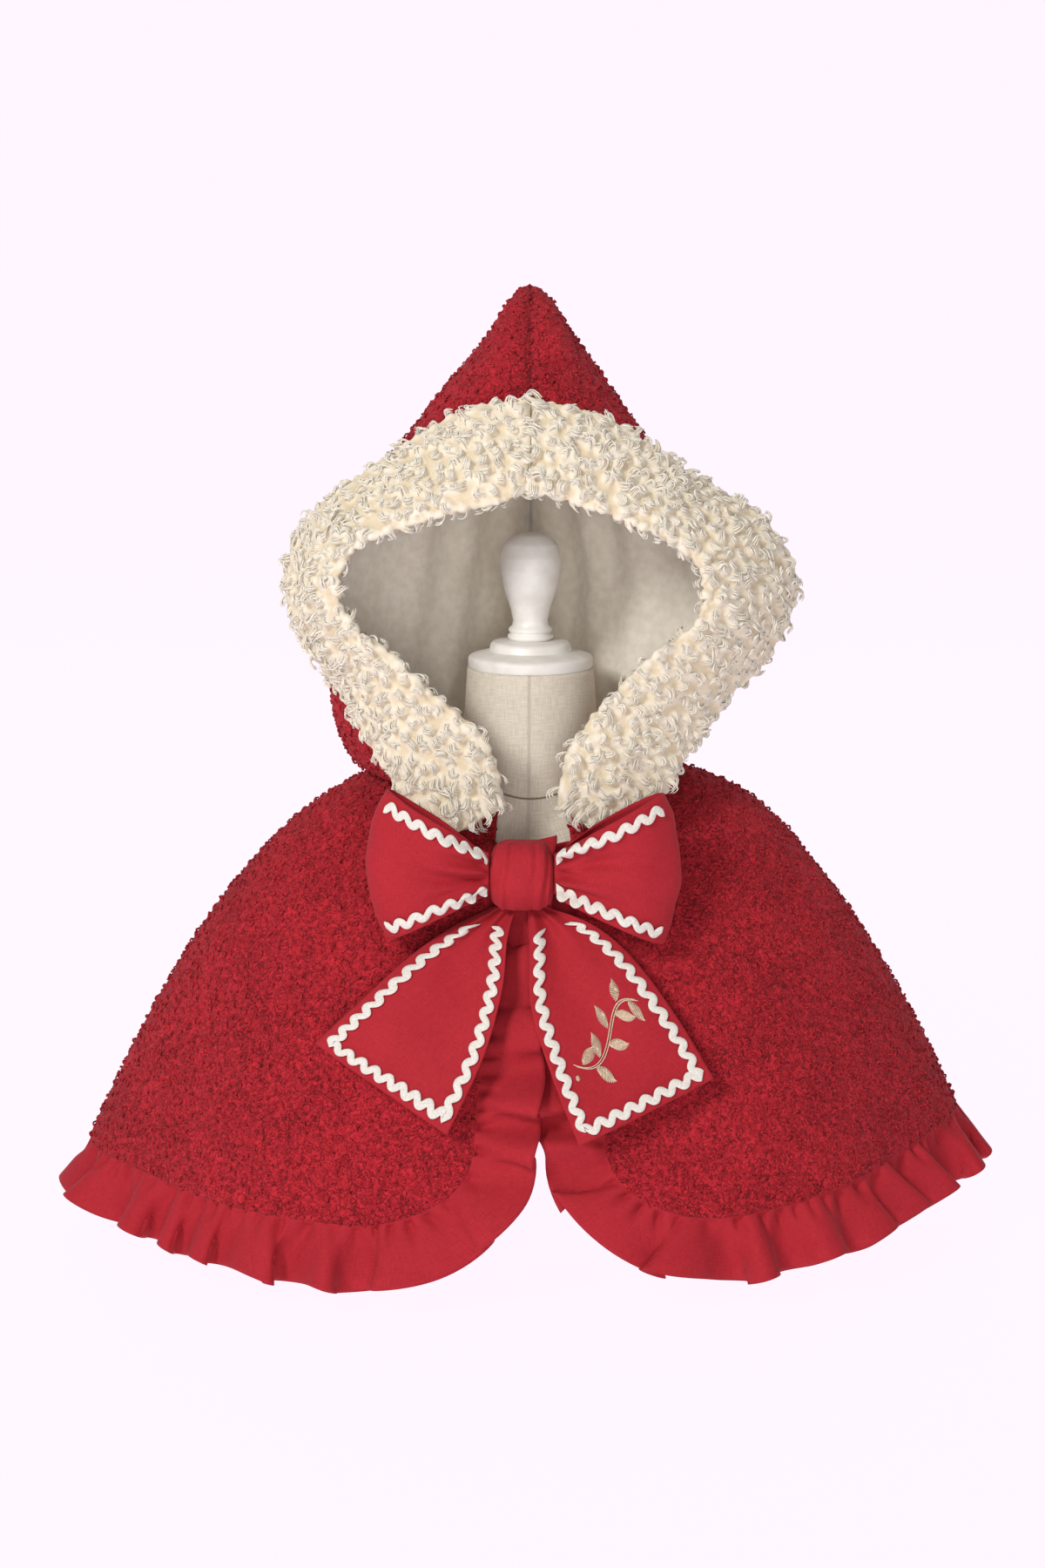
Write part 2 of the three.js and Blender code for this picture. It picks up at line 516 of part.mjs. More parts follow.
// A gathered strip: sewn on under the wool's edge and standing in waves at its free edge
function frill(sewingLine, acrossSign, over) {
  const line = measured(sewingLine);
  const length = line[line.length - 1].along;
  const count = Math.round((length / FRILL_PITCH) * FRILL_STEPS_PER_WAVE);
  const rows = [FRILL_START, FRILL_WIDTH * 0.5, FRILL_WIDTH];
  const grid = (side) => {
    const strips = [];
    for (let i = 0; i <= count; i += 1) {
      const along = (length * i) / count;
      const spot = spotAt(line, along);
      const frame = capeFrame(spot.angle, spot.at);
      const straight = clamp((spot.leave - Math.PI / 2) / (Math.PI / 2), 0, 1);
      const topFade = straight > 0 ? clamp(FRILL_TOP_SHARE + along / FRILL_TOP_RUN, 0, 1) : 1;
      const height = lerp(FRILL_WAVE, FRILL_STRAIGHT_WAVE, straight) * unevenness(along) * topFade;
      strips.push(rows.map((reach) => {
        const share = reach / FRILL_WIDTH;
        const angle = spot.angle + acrossSign * Math.cos(spot.leave) * reach / frame.across;
        const at = spot.at + Math.sin(spot.leave) * reach / frame.downward;
        const wave = height * share ** FRILL_GROWTH * gather(along);
        return capeOff(angle, at, wave + over * share * straight - WOOL / 2 + side * FRILL_CLOTH / 2);
      }));
    }
    return strips;
  };
  return closedWall(grid(1), grid(-1));
}

// The fur band of one side of the hood opening
function furSection(read, at) {
  const inner = vec(read('inX', at), read('inY', at), read('inZ', at));
  const outer = vec(read('outX', at), read('outY', at), read('outZ', at));
  return { inner, outer };
}

// The band's cross-section square to its run: middle, half its width, and half its thickness
function furCut(read, at) {
  const { inner, outer } = furSection(read, at);
  const ahead = furSection(read, Math.min(1, at + 0.01));
  const behind = furSection(read, Math.max(0, at - 0.01));
  const along = ahead.inner.add(ahead.outer).sub(behind.inner).sub(behind.outer).normalize();
  if (at === 0) along.set(Math.sign(along.x), 0, 0);
  const middle = inner.clone().add(outer).multiplyScalar(0.5);
  if (at === 0) middle.x = Math.sign(along.x) * SEAM_GAP / 2;
  const half = outer.sub(inner).multiplyScalar(0.5);
  half.addScaledVector(along, -half.dot(along));
  const lift = vec(0, 0, 0).crossVectors(along, half).normalize().multiplyScalar(FUR_THICKNESS / 2);
  return { middle, half, lift };
}

function furBand(rows) {
  const read = reader(rows, 'at');
  const rings = [];
  for (let i = 0; i <= HOOD_ROW_STEPS; i += 1) {
    const { middle, half, lift } = furCut(read, i / HOOD_ROW_STEPS);
    const size = i === HOOD_ROW_STEPS ? FUR_END_SIZE : 1;
    rings.push(Array.from({ length: FUR_SIDES }, (_, j) => {
      const turn = (2 * Math.PI * j) / FUR_SIDES;
      return middle.clone().addScaledVector(half, Math.cos(turn) * size)
        .addScaledVector(lift, Math.sin(turn) * size);
    }));
  }
  return closedTube(rings);
}

// How high the cape's wool lies under a place seen from above; inside the neckline it is the neck edge
function capeTop(x, y) {
  const reach = (at) => {
    const half = CAPE.read(x < 0 ? 'left' : 'right', at);
    const depth = CAPE.read(y < 0 ? 'front' : 'back', at);
    return { scale: Math.hypot(x / half, y / depth), angle: Math.atan2(x / half, -y / depth) };
  };
  let high = 0;
  let low = HEM;
  for (let i = 0; i < HALVINGS; i += 1) {
    const middle = (high + low) / 2;
    if (reach(middle).scale > 1) high = middle;
    else low = middle;
  }
  return capePoint(reach(high).angle, high).z;
}

// One half of the hood, outer face: from the fur to the centre seam, and down to the neck, where it
// slumps over the shoulder and rests on the cape
function hoodSurface(furRows, sign) {
  const fur = reader(furRows, 'at');
  const hood = reader(HOOD_ROWS, 'at');
  const neckFront = vec(sign * HOOD_NECK_FRONT.x, HOOD_NECK_FRONT.y, HOOD_NECK_FRONT.z);
  const neckStart = Math.asin(HOOD_NECK_FRONT.x / CAPE_RINGS[0].left);
  return (across, at) => {
    const { middle: furMiddle, half, lift } = furCut(fur, at);
    const start = furMiddle.add(half).addScaledVector(half.clone().normalize(), -HOOD_START_IN)
      .addScaledVector(lift.normalize(), -sign * HOOD_START_BEHIND);
    const front = start.lerp(neckFront, clamp(hood('edge', at), 0, 1));
    const belly = sign * hood(sign < 0 ? 'midLeft' : 'midRight', at);
    const middle = vec(belly, hood('midY', at), hood('midZ', at));
    const seam = vec(0, hood('seamY', at), hood('seamZ', at));
    const pull = middle.multiplyScalar(2).addScaledVector(front, -0.5).addScaledVector(seam, -0.5);
    const point = front.multiplyScalar((1 - across) ** 2)
      .addScaledVector(pull, 2 * across * (1 - across)).addScaledVector(seam, across ** 2);
    const neck = CAPE.pointAt(sign * lerp(neckStart, Math.PI, across), 0);
    point.lerp(neck, clamp((at - HOOD_NECK_BLEND) / (1 - HOOD_NECK_BLEND), 0, 1));
    point.z = Math.max(point.z, capeTop(point.x, point.y) + SHOULDER_CLEARANCE);
    return point;
  };
}

function hoodPanel(furRows, sign, depth, thickness, lastRow) {
  const surface = hoodSurface(furRows, sign);
  const small = 0.004;
  const clear = SEAM_GAP / 2;
  const seamDrop = depth > 0 ? LINING_SEAM_DROP : 0;
  const place = (across, at, distance) => {
    const alongRow = surface(Math.min(1, across + small), at).sub(surface(Math.max(0, across - small), at));
    const downRows = surface(across, Math.min(1, at + small)).sub(surface(across, Math.max(0, at - small)));
    const normal = vec(0, 0, 0).crossVectors(alongRow, downRows).normalize().multiplyScalar(-sign);
    const point = surface(across, at);
    if (at === 1) {
      const { side, back, down } = HOOD_NECK_FACING;
      normal.set(side * Math.sign(point.x), back * Math.sign(point.y), down).normalize();
    }
    if (at === 0 || across === 1) {
      const inPlane = vec(0, normal.y, normal.z);
      const steep = Math.max(LEAST_SLOPE, inPlane.length());
      if (inPlane.dot(point.clone().sub(HOOD_HEART)) < 0) inPlane.negate();
      point.addScaledVector(inPlane.normalize(), -(distance + seamDrop) / steep);
      point.x = sign * clear;
      return point;
    }
    point.addScaledVector(normal, -distance);
    point.x = sign * Math.max(clear, sign * point.x);
    return point;
  };
  const grid = (distance) => {
    const lines = [];
    for (let i = 0; i <= lastRow; i += 1) {
      const line = [];
      for (let j = 0; j <= HOOD_COLUMN_STEPS; j += 1) {
        line.push(place(j / HOOD_COLUMN_STEPS, i / HOOD_ROW_STEPS, distance));
      }
      lines.push(line);
    }
    return lines;
  };
  return closedWall(grid(depth), grid(depth + thickness));
}

function liningPanel(furRows, sign) {
  return hoodPanel(furRows, sign, LINING_DEPTH, LINING_CLOTH, LINING_LAST_ROW);
}

// A bow loop's cloth: round the loop and from its lower to its upper edge
function loopSurface(rows) {
  const read = reader(rows, 'at');
  return (round, up, distance = 0) => {
    const point = (r) => {
      const bulge = read('bulge', r) * (1 - (2 * up - 1) ** 2);
      return vec(read('x', r) - bulge, read('y', r), lerp(read('bottom', r), read('top', r), up));
    };
    const small = 0.01;
    const along = point(Math.min(1, round + small)).sub(point(Math.max(0, round - small)));
    const outward = vec(along.y, -along.x, 0).normalize().multiplyScalar(rows[4].x < 0 ? 1 : -1);
    return point(round).addScaledVector(outward, distance);
  };
}

function bowLoop(rows) {
  const surface = loopSurface(rows);
  const grid = (distance) => {
    const lines = [];
    for (let i = 0; i <= LOOP_STEPS; i += 1) {
      const line = [];
      for (let j = 0; j <= LOOP_WIDTH_STEPS; j += 1) {
        line.push(surface(i / LOOP_STEPS, j / LOOP_WIDTH_STEPS, distance));
      }
      lines.push(line);
    }
    return lines;
  };
  return closedWall(grid(0), grid(-BOW_CLOTH));
}

function bowKnot() {
  const rings = KNOT_ROWS.map((row) => Array.from({ length: KNOT_SIDES }, (_, j) => {
    const turn = (2 * Math.PI * j) / KNOT_SIDES;
    const x = Math.sign(Math.cos(turn)) * Math.abs(Math.cos(turn)) ** KNOT_ROUNDNESS * row.halfX;
    const y = Math.sign(Math.sin(turn)) * Math.abs(Math.sin(turn)) ** KNOT_ROUNDNESS * row.halfY;
    return vec(KNOT.x + x, KNOT.y + y, row.z);
  }));
  return closedTube(rings);
}

// How far forward the cape's wool lies at a place seen from the front
function capeFrontY(x, z) {
  let high = 0;
  let low = HEM * 1.1;
  const angleAt = (at) => Math.asin(clamp(x / CAPE.read(x < 0 ? 'left' : 'right', at), -1, 1));
  for (let i = 0; i < HALVINGS; i += 1) {
    const middle = (high + low) / 2;
    if (capePoint(angleAt(middle), middle).z > z) high = middle;
    else low = middle;
  }
  return capePoint(angleAt(high), high).y;
}

// A tail: across from its outer to its inner edge, and down; soft folds run down from the knot
function tailSurface(rows) {
  const read = reader(rows, 'at');
  return (across, downward, distance = 0) => {
    const x = lerp(read('outX', downward), read('inX', downward), across);
    const z = lerp(read('outZ', downward), read('inZ', downward), across);
    const swell = Math.sin(Math.PI * clamp(downward * TAIL_FOLD.reach, 0, 1)) ** TAIL_FOLD.fade;
    const fold = TAIL_FOLD.depth * Math.sin(across * TAIL_FOLD.turn) * swell;
    return vec(x, capeFrontY(x, z) - read('off', downward) - fold - distance, z);
  };
}

function bowTail(rows) {
  const surface = tailSurface(rows);
  const grid = (distance) => {
    const lines = [];
    for (let i = 0; i <= TAIL_STEPS; i += 1) {
      const line = [];
      for (let j = 0; j <= TAIL_WIDTH_STEPS; j += 1) {
        line.push(surface(j / TAIL_WIDTH_STEPS, i / TAIL_STEPS, distance));
      }
      lines.push(line);
    }
    return lines;
  };
  return closedWall(grid(0), grid(-BOW_CLOTH));
}

// Wavy braid laid along a path on a cloth; place(along, side) gives a point lying `lift` off the cloth
function braidAlong(length, place) {
  const count = Math.round(length / BRAID_HALF_PERIOD);
  const rings = [];
  for (let i = 0; i <= count; i += 1) {
    const swing = (i % 2 === 0 ? 1 : -1) * BRAID_SWING;
    const along = i / count;
    const corner = (side, lift) => place(along, swing + side * BRAID_WIDTH / 2, lift);
    const top = BRAID_LIFT + BRAID;
    rings.push([corner(-1, BRAID_LIFT), corner(1, BRAID_LIFT), corner(1, top), corner(-1, top)]);
  }
  return closedTube(rings);
}

function loopBraid(rows, edge) {
  const surface = loopSurface(rows);
  const { start, end, fullHeight, leastInset, steps } = LOOP_BRAID;
  const nearEdge = edge === 'top' ? 0.85 : 0.15;
  const line = Array.from({ length: steps + 1 }, (_, i) => surface(lerp(start, end, i / steps), nearEdge));
  let length = 0;
  for (let i = 0; i < steps; i += 1) length += line[i].distanceTo(line[i + 1]);
  return braidAlong(length, (along, side, lift) => {
    const round = lerp(start, end, along);
    const height = surface(round, 1).distanceTo(surface(round, 0));
    const inset = (BRAID_INSET * clamp(height / fullHeight, leastInset, 1) + side) / height;
    return surface(round, edge === 'top' ? 1 - inset : inset, lift);
  });
}

// The braid on a tail runs down one edge, across the square end and up the other edge
function tailBraid(rows) {
  const surface = tailSurface(rows);
  const widthAt = (downward) => surface(0, downward).distanceTo(surface(1, downward));
  const lengthAlong = surface(0.5, 0.1).distanceTo(surface(0.5, 1)) / 0.9;
  const insetDown = BRAID_INSET / lengthAlong;
  const start = TAIL_BRAID_START;
  const side = (across) => surface(across, start).distanceTo(surface(across, 1 - insetDown));
  const acrossLength = widthAt(1) - 2 * BRAID_INSET;
  const total = side(0.1) + acrossLength + side(0.9);
  const firstShare = side(0.1) / total;
  const lastShare = 1 - side(0.9) / total;
  return braidAlong(total, (along, off, lift) => {
    const down1 = lerp(start, 1 - insetDown, clamp(along / firstShare, 0, 1));
    const down2 = lerp(1 - insetDown, start, clamp((along - lastShare) / (1 - lastShare), 0, 1));
    const edgeShare = (downward) => BRAID_INSET / widthAt(downward);
    if (along < firstShare) return surface(edgeShare(down1) + off / widthAt(down1), down1, lift);
    if (along > lastShare) return surface(1 - edgeShare(down2) - off / widthAt(down2), down2, lift);
    const cross = (along - firstShare) / (lastShare - firstShare);
    const across = lerp(edgeShare(1 - insetDown), 1 - edgeShare(1 - insetDown), cross);
    return surface(across, 1 - insetDown - off / lengthAlong, lift);
  });
}

// The dress form
function torso() {
  const { rows, pointAt } = ringSurface(TORSO_RINGS);
  return closedTube(rows.map((row) => Array.from({ length: TORSO_SIDES }, (_, j) => (
    pointAt((2 * Math.PI * j) / TORSO_SIDES, row.down)))));
}

function turned(profile, sides) {
  const geometry = new THREE.LatheGeometry(profile.map(([r, z]) => new THREE.Vector2(r, z)), sides);
  geometry.rotateX(Math.PI / 2);
  return geometry;
}

const cape = new THREE.Group();
function add(name, geometry, material) {
  const mesh = new THREE.Mesh(geometry, material);
  mesh.name = name;
  cape.add(mesh);
}

add('cape_front_right', frontPanel(FRONT_EDGES.left), woolFinish());
add('cape_front_left', frontPanel(FRONT_EDGES.right), woolFinish());
add('cape_back', backPanel(), woolFinish());
add('frill_front_right', frill(frontSewingLine(FRONT_EDGES.left), -1, FRONT_EDGES.left.over), redFinish());
add('frill_front_left', frill(frontSewingLine(FRONT_EDGES.right), 1, FRONT_EDGES.right.over), redFinish());
add('frill_back', frill(backSewingLine(), 1, 0), redFinish());
add('hood_right', hoodPanel(FUR_LEFT, -1, 0, WOOL, HOOD_ROW_STEPS), woolFinish());
add('hood_left', hoodPanel(FUR_RIGHT, 1, 0, WOOL, HOOD_ROW_STEPS), woolFinish());
add('hood_lining_right', liningPanel(FUR_LEFT, -1), liningFinish());
add('hood_lining_left', liningPanel(FUR_RIGHT, 1), liningFinish());
add('fur_band_right', furBand(FUR_LEFT), furFinish());
add('fur_band_left', furBand(FUR_RIGHT), furFinish());
add('bow_loop_right', bowLoop(LOOP_LEFT), redFinish());
add('bow_loop_left', bowLoop(LOOP_RIGHT), redFinish());
add('bow_knot', bowKnot(), redFinish());
add('bow_tail_right', bowTail(TAIL_LEFT), redFinish());
add('bow_tail_left', bowTail(TAIL_RIGHT), redFinish());
add('braid_loop_right_top', loopBraid(LOOP_LEFT, 'top'), braidFinish());
add('braid_loop_right_bottom', loopBraid(LOOP_LEFT, 'bottom'), braidFinish());
add('braid_loop_left_top', loopBraid(LOOP_RIGHT, 'top'), braidFinish());
add('braid_loop_left_bottom', loopBraid(LOOP_RIGHT, 'bottom'), braidFinish());
add('braid_tail_right', tailBraid(TAIL_LEFT), braidFinish());
add('braid_tail_left', tailBraid(TAIL_RIGHT), braidFinish());
add('form_torso', torso(), linenFinish());
add('form_neck_cap', turned(CAP_PROFILE, TURNED_SIDES.cap), paintFinish());
add('form_finial', turned(FINIAL_PROFILE, TURNED_SIDES.finial), paintFinish());
for (const spot of FOOT_SPOTS) {
  const foot = turned(FOOT_PROFILE, TURNED_SIDES.foot);
  foot.translate(spot.x, spot.y, 0);
  add(spot.name, foot, paintFinish());
}

// The origin goes to the middle of the box round everything, on the ground
const around = new THREE.Box3().setFromObject(cape);
const middle = around.getCenter(vec(0, 0, 0));
cape.position.set(-middle.x, -middle.y, 0);

export default cape;
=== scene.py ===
# A toddler's hooded wool cape on a limbless dress form: the looks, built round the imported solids.
# Tables are in millimetres from the form's upright axis; mesh points are turned into metres at the end.
# "Left" and "right" in the tables are the viewer's; names of pieces are the wearer's.
import math

import bpy
import numpy as np
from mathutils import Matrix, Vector


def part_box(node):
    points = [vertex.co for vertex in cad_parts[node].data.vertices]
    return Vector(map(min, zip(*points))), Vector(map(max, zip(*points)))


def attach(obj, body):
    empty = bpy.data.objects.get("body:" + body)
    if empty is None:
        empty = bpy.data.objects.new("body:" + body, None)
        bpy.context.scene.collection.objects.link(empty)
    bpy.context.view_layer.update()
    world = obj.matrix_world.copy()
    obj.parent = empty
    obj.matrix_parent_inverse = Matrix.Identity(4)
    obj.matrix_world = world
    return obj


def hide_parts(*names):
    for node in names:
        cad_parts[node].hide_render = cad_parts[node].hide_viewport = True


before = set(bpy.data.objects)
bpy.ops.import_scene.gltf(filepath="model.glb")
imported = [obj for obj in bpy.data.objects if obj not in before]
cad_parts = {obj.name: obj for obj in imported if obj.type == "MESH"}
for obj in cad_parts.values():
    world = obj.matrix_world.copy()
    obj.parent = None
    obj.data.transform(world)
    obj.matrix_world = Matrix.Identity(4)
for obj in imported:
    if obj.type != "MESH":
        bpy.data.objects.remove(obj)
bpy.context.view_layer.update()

ROOT = "root"
MM = 0.001

# Cloth thicknesses and gaps
WOOL = 4.0
FRILL_CLOTH = 1.2
BOW_CLOTH = 1.5
LINING_CLOTH = 1.5
LINING_GAP = 1.2
SEAM_GAP = 0.3
SEAM_CLEAR = 0.02
FUR_PILE = 5.0
FUR_CLUMP = 5.4
FUR_LUMP = 2.3
FUR_UNEVEN = 0.8
FUR_HAIRS = 6
HAIR_RADII = np.array((0.5, 0.56, 0.54, 0.48, 0.36, 0.12))
LOCK_ROOT = 1.0
LOCK_RISE = 3.1
LOCK_DROOP = 1.6
LOCK_LENGTH = 7.6
LOCK_BACK = 2.6
LOCK_HOOK = 2.04
LOCK_SPREAD = 2.7
LOCK_SWEEP = 1.7
LOCK_TURN = 2.6

CRISP_ANGLE = math.radians(28)

# Looped yarn of the wool
CURL_SPACING = 4.6
CURL_RADIUS = (1.1, 1.9)
CURL_THICKNESS = (0.55, 0.85)
CURL_STEPS = 5
WOOL_BUMP_SIZES = (10, 4.5)
HOOD_SEAM_GROOVE = 1.6

# Wavy braid
BRAID = 1.2
BRAID_WIDTH = 5.6
BRAID_SHOWN_SWING = 1.8
BRAID_HALF_PERIOD = 5.0
BRAID_INSET = 6.6
BRAID_LIFT = 0.9
LOOP_BRAID = (0.56, 0.985)
TAIL_BRAID_START = 0.16
BRAID_STEPS = 9
BRAID_SIDES = 10

# Cape cut
FRONT_CORNER_RADIUS = 58.0
SIDE_SEAM_ANGLE = math.radians(96)
FRILL_WIDTH = 38.0
FRILL_PITCH = 36.0
FRILL_WAVE = 10.0
FRILL_TOP = 28.0
FRILL_STEP = 1.5
FRILL_UNDER = 2.0
FRILL_LEAN = 11.0
FRILL_SMALL_LEAN = 5.0
FRILL_OVERHANG = 2.6
FRILL_FRONT_WAVE = 7.0
FRILL_END = 14.0
TUCK_PITCH = 13.0
TUCK_DEPTH = 5.5
TUCK_LENGTH = 9.0
LINE_STEPS = {"straight": 50, "corner": 30, "hem": 90, "back": 160}

# Bow
CREASE_FAN = 3.4
LONG_CREASE = 7.0
SECOND_CREASE = 5.5
TAIL_PLEAT = 2.4


def table(names, *rows):
    """A table: named columns over rows of numbers."""
    return {name: np.array([row[i] for row in rows], float) for i, name in enumerate(names.split())}


CAPE_RINGS = table(
    "left right leftZ rightZ front frontZ back backZ",
    (57, 57, 306, 306, 50, 283, 52, 306),
    (82, 82, 303, 304, 64, 269, 66, 294),
    (106, 107, 297, 299, 77, 254, 79, 277),
    (126, 130, 286, 289, 89, 236, 92, 256),
    (149, 152, 269, 273, 102, 214, 105, 230),
    (175, 174, 243, 248, 117, 187, 121, 200),
    (203, 200, 207, 214, 131, 157, 136, 167),
    (230, 226, 164, 172, 145, 124, 150, 131),
    (256, 249, 114, 130, 157, 89, 161, 94),
    (279, 270, 64, 84, 168, 53, 171, 57),
    (295, 287, 30, 51, 175, 24, 179, 27),
)
HEM_RING = 9
CAPE_FOLDS = table(
    "angle width out",
    (-166, 12, 6), (-138, 15, 7), (-112, 12, -6), (-84, 14, 5), (-60, 12, -5), (-34, 11, 4),
    (36, 12, 5), (61, 12, -4), (86, 13, 5), (113, 12, -6), (139, 14, 7), (167, 12, -5),
)
FRONT_EDGES = {
    "left": {"sign": -1, "neck": 20, "hem": 38, "over": 10},
    "right": {"sign": 1, "neck": 22, "hem": 50, "over": 0},
}
FUR_LEFT = table(
    "at inX inY inZ outX outY outZ",
    (0, 0, -84, 477, 0, -58, 539), (0.09, -22, -85, 470, -36, -57, 533),
    (0.18, -51, -86, 464, -67, -50, 515), (0.28, -78, -87, 457, -97, -44, 495),
    (0.38, -100, -88, 447, -124, -38, 474), (0.47, -112, -88, 430, -143, -34, 452),
    (0.56, -110, -90, 409, -152, -33, 422), (0.65, -95, -92, 393, -144, -38, 390),
    (0.74, -73, -92, 378, -124, -46, 360), (0.83, -50, -91, 357, -107, -57, 331),
    (0.91, -23, -90, 334, -90, -70, 304), (1, -7, -83, 297, -64, -86, 266),
)
FUR_RIGHT = table(
    "at inX inY inZ outX outY outZ",
    (0, 0, -84, 477, 0, -58, 539), (0.09, 20, -85, 472, 28, -57, 532),
    (0.18, 41, -86, 465, 56, -51, 521), (0.28, 62, -87, 458, 86, -44, 500),
    (0.38, 82, -88, 448, 116, -38, 479), (0.47, 96, -88, 431, 149, -34, 456),
    (0.56, 98, -89, 411, 165, -33, 420), (0.65, 83, -91, 393, 156, -38, 387),
    (0.74, 62, -91, 377, 131, -47, 358), (0.83, 41, -90, 357, 110, -58, 331),
    (0.91, 21, -90, 334, 90, -70, 304), (1, 7, -83, 297, 60, -86, 266),
)
FUR_THICKNESS = 21.0
HOOD_START_IN = 3.0
HOOD_START_BEHIND = 8.0
HOOD_ROWS = table(
    "at edge midLeft midRight midY midZ seamY seamZ",
    (0, 0, 0, 0, -12, 581, 30, 603), (0.025, 0, 15, 15, -7, 583, 43, 599),
    (0.06, 0, 26, 26, -2, 570, 62, 588), (0.15, 0, 50, 47, 8, 542, 88, 560),
    (0.28, 0, 70, 64, 14, 505, 108, 520),
    (0.42, 0, 93, 89, 20, 462, 119, 474), (0.56, 0, 106, 106, 22, 416, 121, 430),
    (0.68, 0, 110, 101, 18, 376, 114, 389), (0.78, 0, 113, 93, 12, 345, 99, 352),
    (0.86, 0.35, 113, 90, 7, 318, 82, 327), (0.92, 0.75, 101, 84, 4, 305, 68, 314),
    (1, 1, 60, 57, 2, 307, 53, 307),
)
HOOD_NECK_FRONT = (23.0, -51.0, 284.5)
HOOD_HEART = np.array((0.0, 20.0, 430.0))
SHOULDER_CLEARANCE = 1.2
LOOP_LEFT = table(
    "at x y top bottom bulge",
    (0, -24.7, -104, 267, 246, 0), (0.16, -45, -99, 282, 237, 1), (0.32, -68, -98, 297, 228, 4),
    (0.44, -82, -102, 306, 221, 9), (0.5, -86, -111, 308, 219, 12), (0.56, -82, -120, 307, 220, 9),
    (0.68, -68, -128, 299, 227, 4), (0.84, -45, -128, 285, 238, 1), (1, -24.7, -118, 271, 247, 0),
)
LOOP_RIGHT = table(
    "at x y top bottom bulge",
    (0, 13.7, -104, 267, 246, 0), (0.16, 34, -99, 282, 236, -1), (0.32, 58, -98, 296, 226, -4),
    (0.44, 74, -102, 304, 218, -7), (0.5, 79, -111, 306, 215, -10), (0.56, 74, -120, 305, 217, -7),
    (0.68, 58, -128, 297, 225, -4), (0.84, 34, -128, 284, 237, -1), (1, 13.7, -118, 271, 247, 0),
)
KNOT = (-5.5, -107.8)
KNOT_ROUNDNESS = 0.62
KNOT_ROWS = table(
    "z halfX halfY",
    (236.4, 14, 9), (240, 18, 12.5), (248, 19, 17.9), (257, 18.8, 18.4), (266, 18.5, 17.1),
    (273, 16.5, 13), (276, 13, 7),
)
TAIL_LEFT = table(
    "at outX outZ inX inZ off",
    (0, -21, 236, -9, 236, 16), (0.22, -47, 225, -14, 220, 20), (0.45, -73, 208, -17, 193, 20),
    (0.72, -102, 183, -28, 156, 20), (1, -128, 159, -49, 113, 19),
)
TAIL_RIGHT = table(
    "at outX outZ inX inZ off",
    (0, 10, 236, -2, 236, 16), (0.22, 37, 227, -1, 216, 20), (0.45, 61, 208, 0, 184, 20),
    (0.72, 86, 176, 12, 147, 20), (1, 108, 141, 28, 108, 19),
)
TORSO_RINGS = table(
    "left right leftZ rightZ front frontZ back backZ",
    (98, 98, 105, 105, 68, 105, 70, 105), (104, 104, 128, 128, 74, 118, 76, 122),
    (110, 110, 180, 180, 77, 150, 80, 160), (116, 116, 225, 225, 79, 182, 82, 195),
    (118, 118, 260, 260, 79, 207, 81, 222), (114, 114, 278, 278, 76, 226, 79, 242),
    (102, 102, 291, 291, 70, 243, 73, 262), (82, 82, 298, 298, 60, 260, 63, 282),
    (60, 60, 300.4, 300.4, 49, 275, 51, 297), (44, 44, 306, 306, 43, 289, 44, 306),
    (42, 42, 330, 330, 41.5, 328, 42, 330), (39.5, 39.5, 365, 365, 39.5, 365, 39.5, 365),
)
NECK_RING = 10
NECK_SEAM_RING = 9
NECK_TOP = 365.0
CAP_TOP = 382.0
CAP_PROFILE = (
    (0, 0), (38.5, 0), (39, 1), (39, 6), (37.5, 7.5), (26, 10.5), (25, 14.5), (23.5, 16), (15, 17), (0, 17))
FINIAL_PROFILE = (
    (0, 0), (13, 0), (14.3, 1.5), (14.3, 3), (12.5, 4.4), (13.8, 5.8), (13.8, 7.2), (11.6, 9), (10.8, 12),
    (12.5, 20), (16.5, 32), (19, 44), (19, 52), (16.6, 60), (11, 65.4), (5, 67.2), (0, 67.6))
FOOT_X = 66
FOOT_Y = 34
FOOT_PROFILE = ((0, 0), (10, 0), (11, 1.2), (11, 6), (8, 12), (8, 50), (10.5, 97), (10.5, 105), (0, 105))

# The form's axis in the shared frame, which the finial stands on
finial_low, finial_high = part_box("form_finial")
AXIS = np.array(((finial_low[0] + finial_high[0]) / 2, (finial_low[1] + finial_high[1]) / 2, 0.0))


def smooth(x):
    x = np.clip(x, 0.0, 1.0)
    return x * x * (3 - 2 * x)


def mix(a, b, f):
    return a + (b - a) * f


def hump(x, centre, width):
    """A smooth bump of height 1."""
    return np.exp(-((x - centre) / width) ** 2)


def unit(v):
    return v / np.maximum(np.linalg.norm(v, axis=-1, keepdims=True), 1e-9)


def reader(rows, key):
    """Smooth reading of a table by one sorted column; past the last row it runs on straight."""
    keys = rows[key]
    last = len(keys) - 1
    before = np.maximum(np.arange(last + 1) - 1, 0)
    after = np.minimum(np.arange(last + 1) + 1, last)

    def read(name, at):
        at = np.asarray(at, float)
        column = rows[name]
        slope = (column[after] - column[before]) / (keys[after] - keys[before])
        i = np.clip(np.searchsorted(keys, at, side="left") - 1, 0, last - 1)
        span = keys[i + 1] - keys[i]
        f = np.clip((at - keys[i]) / span, 0, 1)
        value = (column[i] * (1 + 2 * f) * (1 - f) ** 2 + column[i + 1] * f * f * (3 - 2 * f)
                 + slope[i] * span * f * (1 - f) ** 2 - slope[i + 1] * span * f * f * (1 - f))
        return value + slope[last] * np.maximum(0, at - keys[last])
    return read


def triple(read, names, at):
    """Three columns of a table, read together as points."""
    return np.stack([read(name, at) for name in names.split()], axis=-1)


